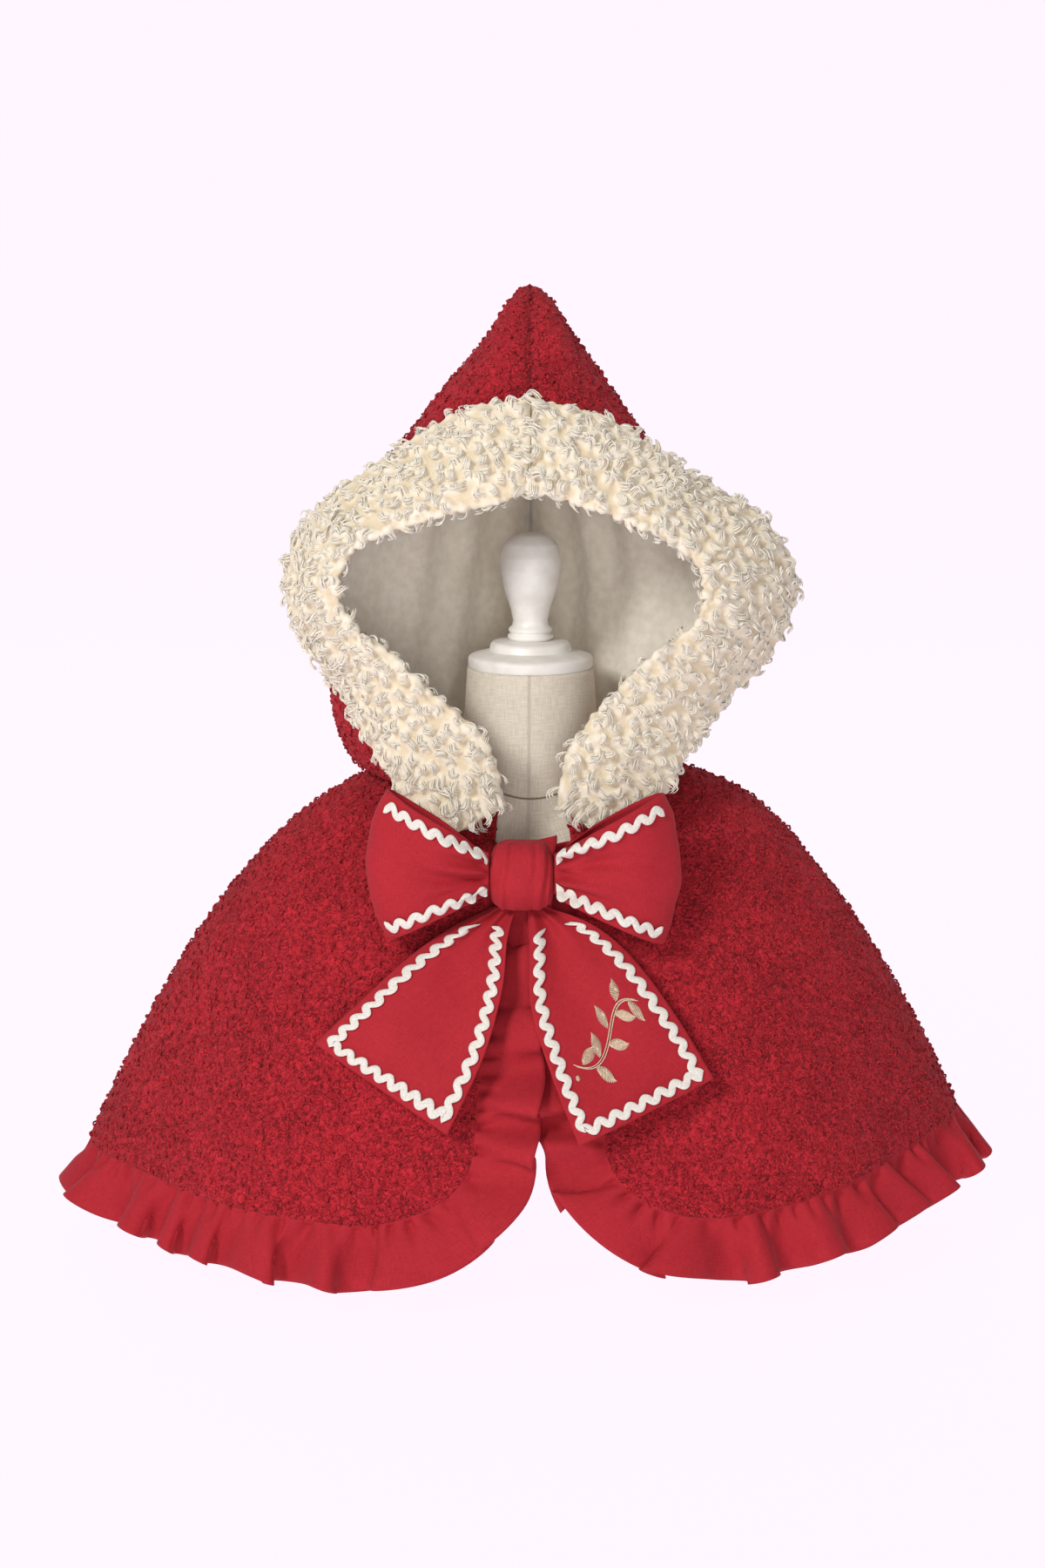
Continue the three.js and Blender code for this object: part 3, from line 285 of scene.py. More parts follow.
def last_inside(inside, shape, far, rounds):
    """The furthest distance at which inside(distance) still holds, found by halving."""
    near, far = np.zeros(shape), np.full(shape, far)
    for _ in range(rounds):
        middle = (near + far) / 2
        holds = inside(middle)
        near = np.where(holds, middle, near)
        far = np.where(holds, far, middle)
    return near


def value_noise(points, size, seed=0):
    """Smooth noise from -1 to 1 with bumps of a given size."""
    q = np.asarray(points, float) / size + 1000.0
    low = np.floor(q).astype(np.int64)
    f = q - low
    f = f * f * (3 - 2 * f)
    total = np.zeros(q.shape[:-1])
    for corner in range(8):
        step = np.array((corner & 1, corner >> 1 & 1, corner >> 2 & 1))
        cell = low + step
        h = seed * 2654435761
        for axis, prime in enumerate((73856093, 19349663, 83492791)):
            h = h ^ (cell[..., axis] * prime)
        h = (h ^ (h >> 13)) * 1274126177 & 0xFFFFFFFF
        h = (h ^ (h >> 16)) & 0xFFFF
        weight = np.prod(np.where(step == 1, f, 1 - f), axis=-1)
        total += weight * (h / 32767.5 - 1.0)
    return total


# Meshes from arrays of points in millimetres
def linked(name, mesh, material):
    """A new object that shows a mesh in one material, shaded smooth."""
    mesh.polygons.foreach_set("use_smooth", np.ones(len(mesh.polygons), bool))
    mesh.materials.append(material)
    piece = bpy.data.objects.new(name, mesh)
    bpy.context.scene.collection.objects.link(piece)
    return piece


def mesh_object(name, points, faces, material, uv=None):
    points = np.asarray(points, float).reshape(-1, 3) * MM + AXIS
    faces = np.asarray(faces, np.int32)
    size = faces.shape[1]
    mesh = bpy.data.meshes.new(name)
    mesh.vertices.add(len(points))
    mesh.vertices.foreach_set("co", points.ravel())
    mesh.loops.add(faces.size)
    mesh.loops.foreach_set("vertex_index", faces.ravel())
    mesh.polygons.add(len(faces))
    mesh.polygons.foreach_set("loop_start", np.arange(len(faces), dtype=np.int32) * size)
    mesh.update(calc_edges=True)
    mesh.validate()
    if uv is not None:
        layer = mesh.uv_layers.new(name="cloth")
        flat = np.asarray(uv, float).reshape(-1, 2)
        layer.data.foreach_set("uv", flat[faces.ravel()].ravel())
    return linked(name, mesh, material)


def grid_faces(rows, columns, offset=0, flip=False, closed=False):
    i = np.arange(rows - 1)[:, None]
    j = np.arange(columns if closed else columns - 1)[None, :]
    k = (j + 1) % columns
    a = offset + i * columns + j
    b = offset + (i + 1) * columns + j
    c = offset + (i + 1) * columns + k
    d = offset + i * columns + k
    quads = np.stack([a, b, c, d], axis=-1).reshape(-1, 4)
    return quads[:, ::-1] if flip else quads


def wall(name, outer, inner, material, uv):
    """A closed cloth wall from an outer and an inner grid of points."""
    rows, columns = outer.shape[:2]
    count = rows * columns
    top = np.arange(columns)
    down = np.arange(rows) * columns
    rim = [(top, 0), ((rows - 1) * columns + top, 1), (down, 1), (down + columns - 1, 0)]
    faces = [grid_faces(rows, columns), grid_faces(rows, columns, count, flip=True)]
    for line, turn in rim:
        quad = np.stack([line[:-1], line[1:], line[1:] + count, line[:-1] + count], axis=-1)
        faces.append(quad[:, ::-1] if turn else quad)
    faces = np.concatenate(faces)
    points = np.concatenate([outer.reshape(-1, 3), inner.reshape(-1, 3)])
    a, b, c, d = (points[faces[:, i]] for i in range(4))
    volume = np.sum(np.einsum("ij,ij->i", a, np.cross(b, c)) + np.einsum("ij,ij->i", a, np.cross(c, d)))
    if volume < 0:
        faces = faces[:, ::-1]
    uvs = np.concatenate([uv.reshape(-1, 2), uv.reshape(-1, 2)])
    return mesh_object(name, points, faces, material, uvs)


def grid_normals(grid, outward):
    """Unit normals of a grid of points, turned the way that outward(points) says."""
    across = np.gradient(grid, axis=0)
    along = np.gradient(grid, axis=1)
    normals = unit(np.cross(across, along))
    sign = np.sign(np.sum(normals * outward, axis=-1, keepdims=True))
    return normals * np.where(sign == 0, 1, sign)


def grid_uv(grid):
    """Cloth coordinates in centimetres, by lengths along the middle lines of a grid."""
    rows, columns = grid.shape[:2]
    down = np.linalg.norm(np.diff(grid[:, columns // 2], axis=0), axis=-1)
    across = np.linalg.norm(np.diff(grid[rows // 2], axis=0), axis=-1)
    v = np.concatenate([[0], np.cumsum(down)]) / 10
    u = np.concatenate([[0], np.cumsum(across)]) / 10
    return np.stack(np.meshgrid(v, u, indexing="ij"), axis=-1)


def strands(name, path, radius, up, material, sides=3):
    """Many thin curved strands as one mesh; path holds points by strand and step."""
    count, steps = path.shape[:2]
    tangent = unit(np.gradient(path, axis=1))
    side = unit(np.cross(tangent, up[:, None, :]))
    top = np.cross(side, tangent)
    radius = np.broadcast_to(radius, (count, steps))[..., None]
    rings = []
    for j in range(sides):
        turn = 2 * math.pi * j / sides
        rings.append(path + radius * (math.cos(turn) * side + math.sin(turn) * top))
    points = np.stack(rings, axis=2).reshape(-1, 3)
    one = grid_faces(steps, sides, closed=True)
    faces = (one[None] + (np.arange(count) * steps * sides)[:, None, None]).reshape(-1, 4)
    return mesh_object(name, points, faces[:, ::-1], material)


# The cape's cut, the same as the solids'
def ring_surface(rings):
    down = np.zeros(len(rings["left"]))
    for i in range(1, len(down)):
        step = {name: rings[name][i] - rings[name][i - 1] for name in rings}
        side = math.hypot(step["left"], step["leftZ"])
        front = math.hypot(step["front"], step["frontZ"])
        down[i] = down[i - 1] + (side + front) / 2
    rows = dict(rings, down=down)
    read = reader(rows, "down")

    def point_at(angle, at):
        side, ahead = np.sin(angle), np.cos(angle)
        half = np.where(side < 0, read("left", at), read("right", at))
        depth = np.where(ahead > 0, read("front", at), read("back", at))
        side_z = np.where(side < 0, read("leftZ", at), read("rightZ", at))
        depth_z = np.where(ahead > 0, read("frontZ", at), read("backZ", at))
        z = side_z * side * side + depth_z * ahead * ahead
        return np.stack([half * side, -depth * ahead, z], axis=-1)
    return down, read, point_at


CAPE_DOWN, cape_read, cape_plain = ring_surface(CAPE_RINGS)
HEM = CAPE_DOWN[HEM_RING]


def fold_out(angle, at):
    growth = np.clip(at / HEM, 0, 1.1) ** 2
    total = 0.0
    for where, width, out in zip(*CAPE_FOLDS.values()):
        turn = angle - math.radians(where)
        turn = np.arctan2(np.sin(turn), np.cos(turn))
        total = total + out * hump(turn, 0, math.radians(width))
    return growth * total


def cape_point(angle, at):
    angle, at = np.broadcast_arrays(np.asarray(angle, float), np.asarray(at, float))
    out = fold_out(angle, at)
    return cape_plain(angle, at) + np.stack([np.sin(angle) * out, -np.cos(angle) * out, 0 * out], axis=-1)


def cape_frame(angle, at):
    turn, step = 0.01, 1.0
    across = (cape_point(angle + turn, at) - cape_point(angle - turn, at)) / (2 * turn)
    downward = (cape_point(angle, at + step) - cape_point(angle, at - step)) / (2 * step)
    normal = -unit(np.cross(across, downward))
    return np.linalg.norm(across, axis=-1), np.linalg.norm(downward, axis=-1), normal


def cape_off(angle, at, distance):
    _, _, normal = cape_frame(angle, at)
    return cape_point(angle, at) + normal * np.asarray(distance)[..., None]


def edge_angle(edge, at):
    half = cape_read("left" if edge["sign"] < 0 else "right", at)
    return edge["sign"] * np.arcsin(mix(edge["neck"], edge["hem"], np.clip(at / HEM, 0, 1)) / half)


def front_width(edge):
    across, _, _ = cape_frame(np.array(edge["sign"] * 0.9), np.array(HEM))
    return float(across) * (SIDE_SEAM_ANGLE - abs(float(edge_angle(edge, np.array(HEM)))))


def panel_angle(edge, at, share):
    return mix(edge_angle(edge, at), edge["sign"] * SIDE_SEAM_ANGLE, share)


def seam_turn(at):
    across, _, _ = cape_frame(np.full(np.shape(at), SIDE_SEAM_ANGLE), np.asarray(at, float))
    return SEAM_GAP / 2 / across


def front_grid(edge, corner_steps, plain_steps, row_steps):
    """Angle and distance down for every point of a front panel."""
    width = front_width(edge)
    turn = np.arange(corner_steps) / corner_steps * math.pi / 2
    share = np.concatenate([FRONT_CORNER_RADIUS * (1 - np.cos(turn)) / width,
                            np.linspace(FRONT_CORNER_RADIUS / width, 1, plain_steps + 1)])
    end = np.concatenate([HEM - FRONT_CORNER_RADIUS * (1 - np.sin(turn)), np.full(plain_steps + 1, HEM)])
    at = end[:, None] * np.linspace(0, 1, row_steps + 1)[None, :]
    angle = panel_angle(edge, at, share[:, None])
    angle[-1] -= edge["sign"] * seam_turn(at[-1])
    return angle, at


def back_grid(column_steps, row_steps):
    at = np.broadcast_to(HEM * np.linspace(0, 1, row_steps + 1)[None, :], (column_steps + 1, row_steps + 1))
    start = SIDE_SEAM_ANGLE + seam_turn(at)
    f = np.linspace(0, 1, column_steps + 1)[:, None]
    return mix(start, 2 * math.pi - start, f), at


# The frill's sewing lines
def front_sewing_line(edge):
    width = front_width(edge)
    steps = LINE_STEPS
    straight = np.linspace(FRILL_TOP, HEM - FRONT_CORNER_RADIUS, steps["straight"], endpoint=False)
    turn = np.arange(steps["corner"]) / steps["corner"] * math.pi / 2
    corner = HEM - FRONT_CORNER_RADIUS * (1 - np.sin(turn))
    corner_share = FRONT_CORNER_RADIUS * (1 - np.cos(turn)) / width
    hem_share = np.linspace(FRONT_CORNER_RADIUS / width, 1, steps["hem"] + 1)
    hem = np.full(hem_share.shape, HEM)
    angle = np.concatenate([edge_angle(edge, straight), panel_angle(edge, corner, corner_share),
                            panel_angle(edge, hem, hem_share)])
    angle[-1] = edge["sign"] * (SIDE_SEAM_ANGLE - float(seam_turn(HEM)))
    sides, bottom = np.full(straight.shape, math.pi), np.full(hem.shape, math.pi / 2)
    leave = np.concatenate([sides, math.pi - turn, bottom])
    return angle, np.concatenate([straight, corner, hem]), leave


def back_sewing_line():
    start = SIDE_SEAM_ANGLE + float(seam_turn(HEM))
    angle = np.linspace(start, 2 * math.pi - start, LINE_STEPS["back"] + 1)
    return angle, np.full(angle.shape, HEM), np.full(angle.shape, math.pi / 2)


def frill(name, line, across_sign, over, material, seed):
    """A gathered strip: broad folds lean over each other at its free edge, tucks pull in where it is sewn."""
    angle, at, leave = line
    points = cape_point(angle, at)
    lengths = np.concatenate([[0], np.cumsum(np.linalg.norm(np.diff(points, axis=0), axis=-1))])
    length = lengths[-1]
    count = int(length / FRILL_STEP)
    along = np.linspace(0, length, count + 1)[:, None]
    rows = np.concatenate([[-FRILL_UNDER, 0.2], np.linspace(2, FRILL_WIDTH, 17)])[None, :]
    share = np.clip(rows / FRILL_WIDTH, 0, 1)
    straight = np.interp(along, lengths, np.clip((leave - math.pi / 2) / (math.pi / 2), 0, 1))
    phase = 2 * math.pi * along / FRILL_PITCH + 0.9 * np.sin(along / 31) + 0.7 * np.sin(along / 17 + 2)
    ends = smooth(along / FRILL_END) * smooth((length - along) / FRILL_END)
    # Folds lean one way or the other, some of them so far that they hang over their neighbour
    leaning = FRILL_LEAN * np.sin(along / 47 + seed) + FRILL_SMALL_LEAN * np.sin(along / 19 + 2 * seed)
    lean = leaning * np.sin(phase) - FRILL_OVERHANG * np.sin(2 * phase)
    lean = lean * share ** 1.2 * (1 - 0.25 * straight)
    where = np.clip(along + lean * ends, 0, length)
    spot_angle = np.interp(where, lengths, angle)
    spot_at = np.interp(where, lengths, at)
    spot_leave = np.interp(where, lengths, leave)
    across, downward, _ = cape_frame(spot_angle, spot_at)
    top_fade = np.where(straight > 0, np.clip(0.25 + along / 120, 0, 1), 1)
    height = mix(FRILL_WAVE, FRILL_FRONT_WAVE, straight) * (0.9 + 0.3 * np.sin(along / 23 + 1)) * top_fade
    wave = height * np.sin(phase) * share ** 0.75 * (1 - 0.12 * np.cos(2 * phase)) * ends
    tuck = np.abs(np.cos(along * math.pi / TUCK_PITCH + 1.3 * np.sin(along / 17 + seed))) ** 5
    depth = TUCK_DEPTH * (0.75 + 0.25 * np.sin(along / 11 + seed))
    tight = -depth * tuck * hump(rows, 3, TUCK_LENGTH) * smooth(rows / 2)
    place = np.stack(np.broadcast_arrays(along, rows * 0.5, 0 * along + seed), axis=-1)
    crumple = value_noise(place, 12, seed) * 1.5 * share
    sag = (value_noise(place, 30, seed + 5) * 2.2 + 1.8 * np.cos(phase + 0.6)) * share * ends
    middle = wave + tight + crumple + over * share * straight - WOOL / 2
    final_angle = spot_angle + across_sign * np.cos(spot_leave) * (rows + sag) / across
    final_at = spot_at + np.sin(spot_leave) * (rows + sag) / downward
    outer = cape_off(final_angle, final_at, middle + FRILL_CLOTH / 2)
    normals = grid_normals(outer, cape_frame(final_angle, final_at)[2])
    for _ in range(2):
        normals[1:-1] = unit(normals[:-2] + 2 * normals[1:-1] + normals[2:])
    uv = np.stack(np.broadcast_arrays(along / 10 * 1.6, rows / 10), axis=-1)
    return wall(name, outer, outer - normals * FRILL_CLOTH, material, uv)


# Fur and hood, the same as the solids'
def fur_ends(read, at):
    return triple(read, "inX inY inZ", at), triple(read, "outX outY outZ", at)


def fur_cut(read, at, sign):
    """The band's cross-section square to its run: middle, half its width, half its thickness."""
    at = np.asarray(at, float)
    inner, outer = fur_ends(read, at)
    ahead = fur_ends(read, np.minimum(1, at + 0.01))
    behind = fur_ends(read, np.maximum(0, at - 0.01))
    along = unit(ahead[0] + ahead[1] - behind[0] - behind[1])
    along = np.where((at == 0)[..., None], np.array((float(sign), 0, 0)), along)
    middle = (inner + outer) / 2
    middle[..., 0] = np.where(at == 0, sign * SEAM_GAP / 2, middle[..., 0])
    half = (outer - inner) / 2
    half = half - along * np.sum(half * along, axis=-1, keepdims=True)
    lift = unit(np.cross(along, half)) * FUR_THICKNESS / 2
    return middle, half, lift


def cape_top(x, y):
    """Height of the cape's wool under a place seen from above."""
    def reach(at):
        half = np.where(x < 0, cape_read("left", at), cape_read("right", at))
        depth = np.where(y < 0, cape_read("front", at), cape_read("back", at))
        return np.hypot(x / half, y / depth), np.arctan2(x / half, -y / depth)
    at = last_inside(lambda middle: reach(middle)[0] > 1, np.shape(x), HEM, 24)
    return cape_point(reach(at)[1], at)[..., 2]


def hood_surface(fur_rows, sign):
    fur = reader(fur_rows, "at")
    hood = reader(HOOD_ROWS, "at")
    neck_front = np.array((sign * HOOD_NECK_FRONT[0], HOOD_NECK_FRONT[1], HOOD_NECK_FRONT[2]))
    neck_start = math.asin(HOOD_NECK_FRONT[0] / CAPE_RINGS["left"][0])

    def surface(across, at):
        across, at = np.broadcast_arrays(np.asarray(across, float), np.asarray(at, float))
        middle, half, lift = fur_cut(fur, at, sign)
        start = middle + half - unit(half) * HOOD_START_IN - sign * unit(lift) * HOOD_START_BEHIND
        front = mix(start, neck_front, np.clip(hood("edge", at), 0, 1)[..., None])
        names = "midLeft midY midZ" if sign < 0 else "midRight midY midZ"
        belly = triple(hood, names, at) * np.array((sign, 1, 1))
        seam = np.stack([0 * at, hood("seamY", at), hood("seamZ", at)], axis=-1)
        pull = 2 * belly - 0.5 * front - 0.5 * seam
        f = across[..., None]
        point = front * (1 - f) ** 2 + pull * 2 * f * (1 - f) + seam * f * f
        neck = cape_plain(sign * mix(neck_start, math.pi, across), 0 * at)
        point = mix(point, neck, np.clip((at - 0.93) / 0.07, 0, 1)[..., None])
        floor = cape_top(point[..., 0], point[..., 1]) + SHOULDER_CLEARANCE
        point[..., 2] = np.maximum(point[..., 2], floor)
        return point
    return surface


def hood_grid(fur_rows, sign, columns, rows, depth, last=1.0, seam_drop=0.0):
    """Points of a hood half, set in by a depth, and its normals; rows run from top seam to neck."""
    surface = hood_surface(fur_rows, sign)
    at = np.linspace(0, last, rows + 1)[:, None]
    across = np.linspace(0, 1, columns + 1)[None, :]
    at, across = np.broadcast_arrays(at, across)
    small = 0.004
    d_across = surface(np.minimum(1, across + small), at) - surface(np.maximum(0, across - small), at)
    d_at = surface(across, np.minimum(1, at + small)) - surface(across, np.maximum(0, at - small))
    normal = -sign * unit(np.cross(d_across, d_at))
    point = surface(across, at).copy()
    neck = np.stack([0.5 * np.sign(point[..., 0]), 0.2 * np.sign(point[..., 1]), -0.85 + 0 * at], axis=-1)
    normal = np.where((at >= 1)[..., None], unit(neck), normal)
    on_seam = (at == 0) | (across == 1)
    in_plane = np.stack([0 * at, normal[..., 1], normal[..., 2]], axis=-1)
    steep = np.maximum(0.5, np.linalg.norm(in_plane, axis=-1, keepdims=True))
    in_plane = unit(in_plane)
    inwards = np.sum(in_plane * (point - HOOD_HEART), axis=-1, keepdims=True) < 0
    in_plane = np.where(inwards, -in_plane, in_plane)

    def inset(distance):
        plain = point - normal * np.asarray(distance)[..., None]
        seam = point - in_plane / steep * (np.asarray(distance) + seam_drop)[..., None]
        moved = np.where(on_seam[..., None], seam, plain)
        x = sign * np.maximum(SEAM_CLEAR, sign * moved[..., 0])
        moved[..., 0] = np.where(on_seam, sign * SEAM_CLEAR, x)
        return moved
    return inset(np.zeros(at.shape) + depth), inset, normal, across, at


# Bow, the same as the solids'
def loop_surface(rows):
    read = reader(rows, "at")
    side = 1 if rows["x"][4] < 0 else -1

    def place(around, up, distance=0.0):
        around, up = np.broadcast_arrays(np.asarray(around, float), np.asarray(up, float))

        def point(r):
            bulge = read("bulge", r) * (1 - (2 * up - 1) ** 2)
            height = mix(read("bottom", r), read("top", r), up)
            return np.stack([read("x", r) - bulge, read("y", r), height], axis=-1)
        along = point(np.minimum(1, around + 0.01)) - point(np.maximum(0, around - 0.01))
        outward = side * unit(np.stack([along[..., 1], -along[..., 0], 0 * up], axis=-1))
        return point(around) + outward * np.asarray(distance)[..., None]
    return place


def cape_front_y(x, z):
    """How far forward the front's wool lies at a place seen from the front."""
    def angle_at(at):
        half = np.where(x < 0, cape_read("left", at), cape_read("right", at))
        return np.arcsin(np.clip(x / half, -1, 1))

    def above(middle):
        return cape_point(angle_at(middle), middle)[..., 2] > z
    at = last_inside(above, np.shape(x), HEM * 1.1, 30)
    return cape_point(angle_at(at), at)[..., 1]


def tail_surface(rows):
    read = reader(rows, "at")

    def place(across, down, distance=0.0):
        across, down = np.broadcast_arrays(np.asarray(across, float), np.asarray(down, float))
        x = mix(read("outX", down), read("inX", down), across)
        z = mix(read("outZ", down), read("inZ", down), across)
        fold = 2.6 * np.sin(across * 7.5) * np.sin(math.pi * np.clip(down * 1.1, 0, 1)) ** 0.8
        return np.stack([x, cape_front_y(x, z) - read("off", down) - fold - distance, z], axis=-1)
    return place


# Scattering small things over a grid of points
def sampled(grid, where):
    """A grid read between its points: where holds fractional row and column numbers."""
    rows, columns = grid.shape[:2]
    r = np.clip(where[:, 0], 0, rows - 1.001)
    c = np.clip(where[:, 1], 0, columns - 1.001)
    i, j = r.astype(int), c.astype(int)
    f, g = (r - i)[:, None], (c - j)[:, None]
    top = grid[i, j] * (1 - g) + grid[i, j + 1] * g
    low = grid[i + 1, j] * (1 - g) + grid[i + 1, j + 1] * g
    return top * (1 - f) + low * f


def scattered(grid, spacing, rng):
    """Spots over a surface, each at least a spacing from the others."""
    a = grid[:-1, :-1]
    area = np.linalg.norm(np.cross(grid[1:, :-1] - a, grid[:-1, 1:] - a), axis=-1)
    weights = (area / area.sum()).ravel()
    tries = int(area.sum() / spacing ** 2 * 2.6)
    cells = rng.choice(weights.size, tries, p=weights)
    columns = area.shape[1]
    where = np.stack([cells // columns + rng.random(tries), cells % columns + rng.random(tries)], axis=-1)
    places = sampled(grid, where)
    taken = {}
    kept = []
    keys = np.floor(places / spacing).astype(int)
    around = [(i, j, k) for i in (-1, 0, 1) for j in (-1, 0, 1) for k in (-1, 0, 1)]
    for n, (key, place) in enumerate(zip(map(tuple, keys), places)):
        near = (taken[cell] for step in around
                if (cell := (key[0] + step[0], key[1] + step[1], key[2] + step[2])) in taken)
        if all((other[0] - place[0]) ** 2 + (other[1] - place[1]) ** 2 + (other[2] - place[2]) ** 2
               > spacing ** 2 for others in near for other in others):
            taken.setdefault(key, []).append(place)
            kept.append(n)
    return where[kept]


def curls(name, grid, outward, material, seed):
    """Short curled loops of thick yarn all over a cloth, each with both ends sunk in it."""
    rng = np.random.default_rng(seed)
    where = scattered(grid, CURL_SPACING, rng)
    spots = sampled(grid, where)
    normals = unit(sampled(outward, where))
    count = len(spots)
    lead = unit(np.cross(normals, unit(rng.normal(size=(count, 3)))))
    side = np.cross(normals, lead)
    tilt = rng.uniform(0.25, 1.25, (count, 1))
    stand = normals * np.sin(tilt) + side * np.cos(tilt)
    radius = rng.uniform(*CURL_RADIUS, (count, 1, 1))
    turn = rng.uniform(-0.5, 0.5, (count, 1)) + np.linspace(-0.45, math.pi + 0.75, CURL_STEPS)[None, :]
    rise = np.sin(turn)[..., None] * stand[:, None, :]
    path = spots[:, None, :] + radius * (np.cos(turn)[..., None] * lead[:, None, :] + rise)
    path = path + normals[:, None, :] * rng.uniform(-0.35, 0.15, (count, 1, 1))
    path = path + side[:, None, :] * np.linspace(-0.8, 0.8, CURL_STEPS)[None, :, None]
    thick = rng.uniform(*CURL_THICKNESS, (count, 1)) * np.array((0.6, 1.1, 1.15, 1.1, 0.6))
    return strands(name, path, thick, normals, material)


# The wool
def wool_bump(points, seed):
    broad, fine = WOOL_BUMP_SIZES
    return 0.55 * value_noise(points, broad, seed) + 0.45 * value_noise(points, fine, seed + 1)


def cape_panel(name, angle, at, material, seed):
    middle = cape_point(angle, at)
    bump = wool_bump(middle, seed) - 0.7
    outer = cape_off(angle, at, bump)
    inner = cape_off(angle, at, np.full(at.shape, -WOOL))
    return wall(name, outer, inner, material, grid_uv(outer)), outer, cape_frame(angle, at)[2]


def hood_half(name, fur_rows, sign, material, seed):
    columns, rows = 68, 88
    _, inset, normal, across, at = hood_grid(fur_rows, sign, columns, rows, 0.0)
    bump = 0.7 - wool_bump(inset(np.zeros(at.shape)), seed)
    groove = HOOD_SEAM_GROOVE * (hump(across, 1, 0.022) + hump(at, 0, 0.012))
    outer = inset(bump + groove)
    inner = inset(np.full(at.shape, WOOL))
    return wall(name, outer, inner, material, grid_uv(outer)), outer, normal


def hood_lining(name, fur_rows, sign, material, seed):
    """Smooth lining inside a hood half, with soft folds hanging down beside the centre seam."""
    columns, rows = 68, 66
    _, inset, _, across, at = hood_grid(fur_rows, sign, columns, rows, 0.0, 16 / 17, 2.5)
    folds = 7.5 * hump(across, 0.80, 0.045) + 6.0 * hump(across, 0.62 + 0.08 * at, 0.06)
    folds = (folds + 4.5 * hump(across, 0.92, 0.03)) * smooth((at - 0.12) / 0.3)
    sag = 1.2 * value_noise(inset(np.zeros(at.shape)), 32, seed) + 1.2
    depth = WOOL + LINING_GAP + (folds + sag) * smooth((1 - across) / 0.05) * smooth(at / 0.05)
    outer = inset(depth)
    inner = inset(depth + LINING_CLOTH)
    return wall(name, outer, inner, material, grid_uv(outer))


# The fur
def fur_grid(fur_rows, sign, along_steps, round_steps, swell=0.0):
    read = reader(fur_rows, "at")
    at = np.linspace(0, 1, along_steps + 1)
    middle, half, lift = fur_cut(read, at, sign)
    taper = 1 - 0.2 * smooth((at - 0.94) / 0.06)
    wide = np.linalg.norm(half, axis=-1, keepdims=True)
    thick = np.linalg.norm(lift, axis=-1, keepdims=True)
    half = half / wide * (wide + swell) * taper[:, None]
    lift = lift / thick * (thick + swell) * taper[:, None]
    turn = np.linspace(0, 2 * math.pi, round_steps + 1)[None, :, None]
    points = middle[:, None] + half[:, None] * np.cos(turn) + lift[:, None] * np.sin(turn)
    sideways = unit(half)[:, None] * np.cos(turn) / wide[:, None]
    outward = unit(lift)[:, None] * np.sin(turn) / thick[:, None]
    return points, unit(sideways + outward)


def tipped(piece, values):
    """Gives each point of a piece its height in the pile, from 0 at the root to 1 at the tip, which the fur's
    colour turns into painted shade low in the pile.
    """
    layer = piece.data.attributes.new("tip", "FLOAT", "POINT")
    layer.data.foreach_set("value", np.asarray(values, np.float32).ravel())


def value_direction(points, size, seed):
    return np.stack([value_noise(points, size, seed + k) for k in range(3)], axis=-1) + 1e-6


def lumps(flat, centres):
    """Height from 0 to 1 of the round lump over each centre, for many points."""
    lump = np.zeros(len(flat))
    for start in range(0, len(flat), 1000):
        part = slice(start, start + 1000)
        gap = np.linalg.norm(flat[part, None] - centres[None], axis=-1).min(axis=1)
        lump[part] = np.sqrt(np.clip(1 - (gap / (0.8 * FUR_CLUMP)) ** 2, 0, 1))
    return lump


def fur_core(name, grid, normals, centres, material, seed):
    flat = grid.reshape(-1, 3)
    rows, columns = grid.shape[:2]
    lump = lumps(flat, centres)
    fine = value_noise(flat, 2.2, seed) + 0.6 * value_noise(flat, 5.0, seed + 1)
    puffed = grid + normals * (FUR_LUMP * lump + FUR_UNEVEN * fine).reshape(rows, columns, 1)
    core = tube_object(name, puffed[:, :-1], material)
    # Height in the pile for the colour: low between the lumps, where the shade is painted.
    height = (0.55 * lump + 0.1 * fine).reshape(rows, columns)[:, :-1]
    tipped(core, np.concatenate([height.ravel(), [0, 0]]))
    return core


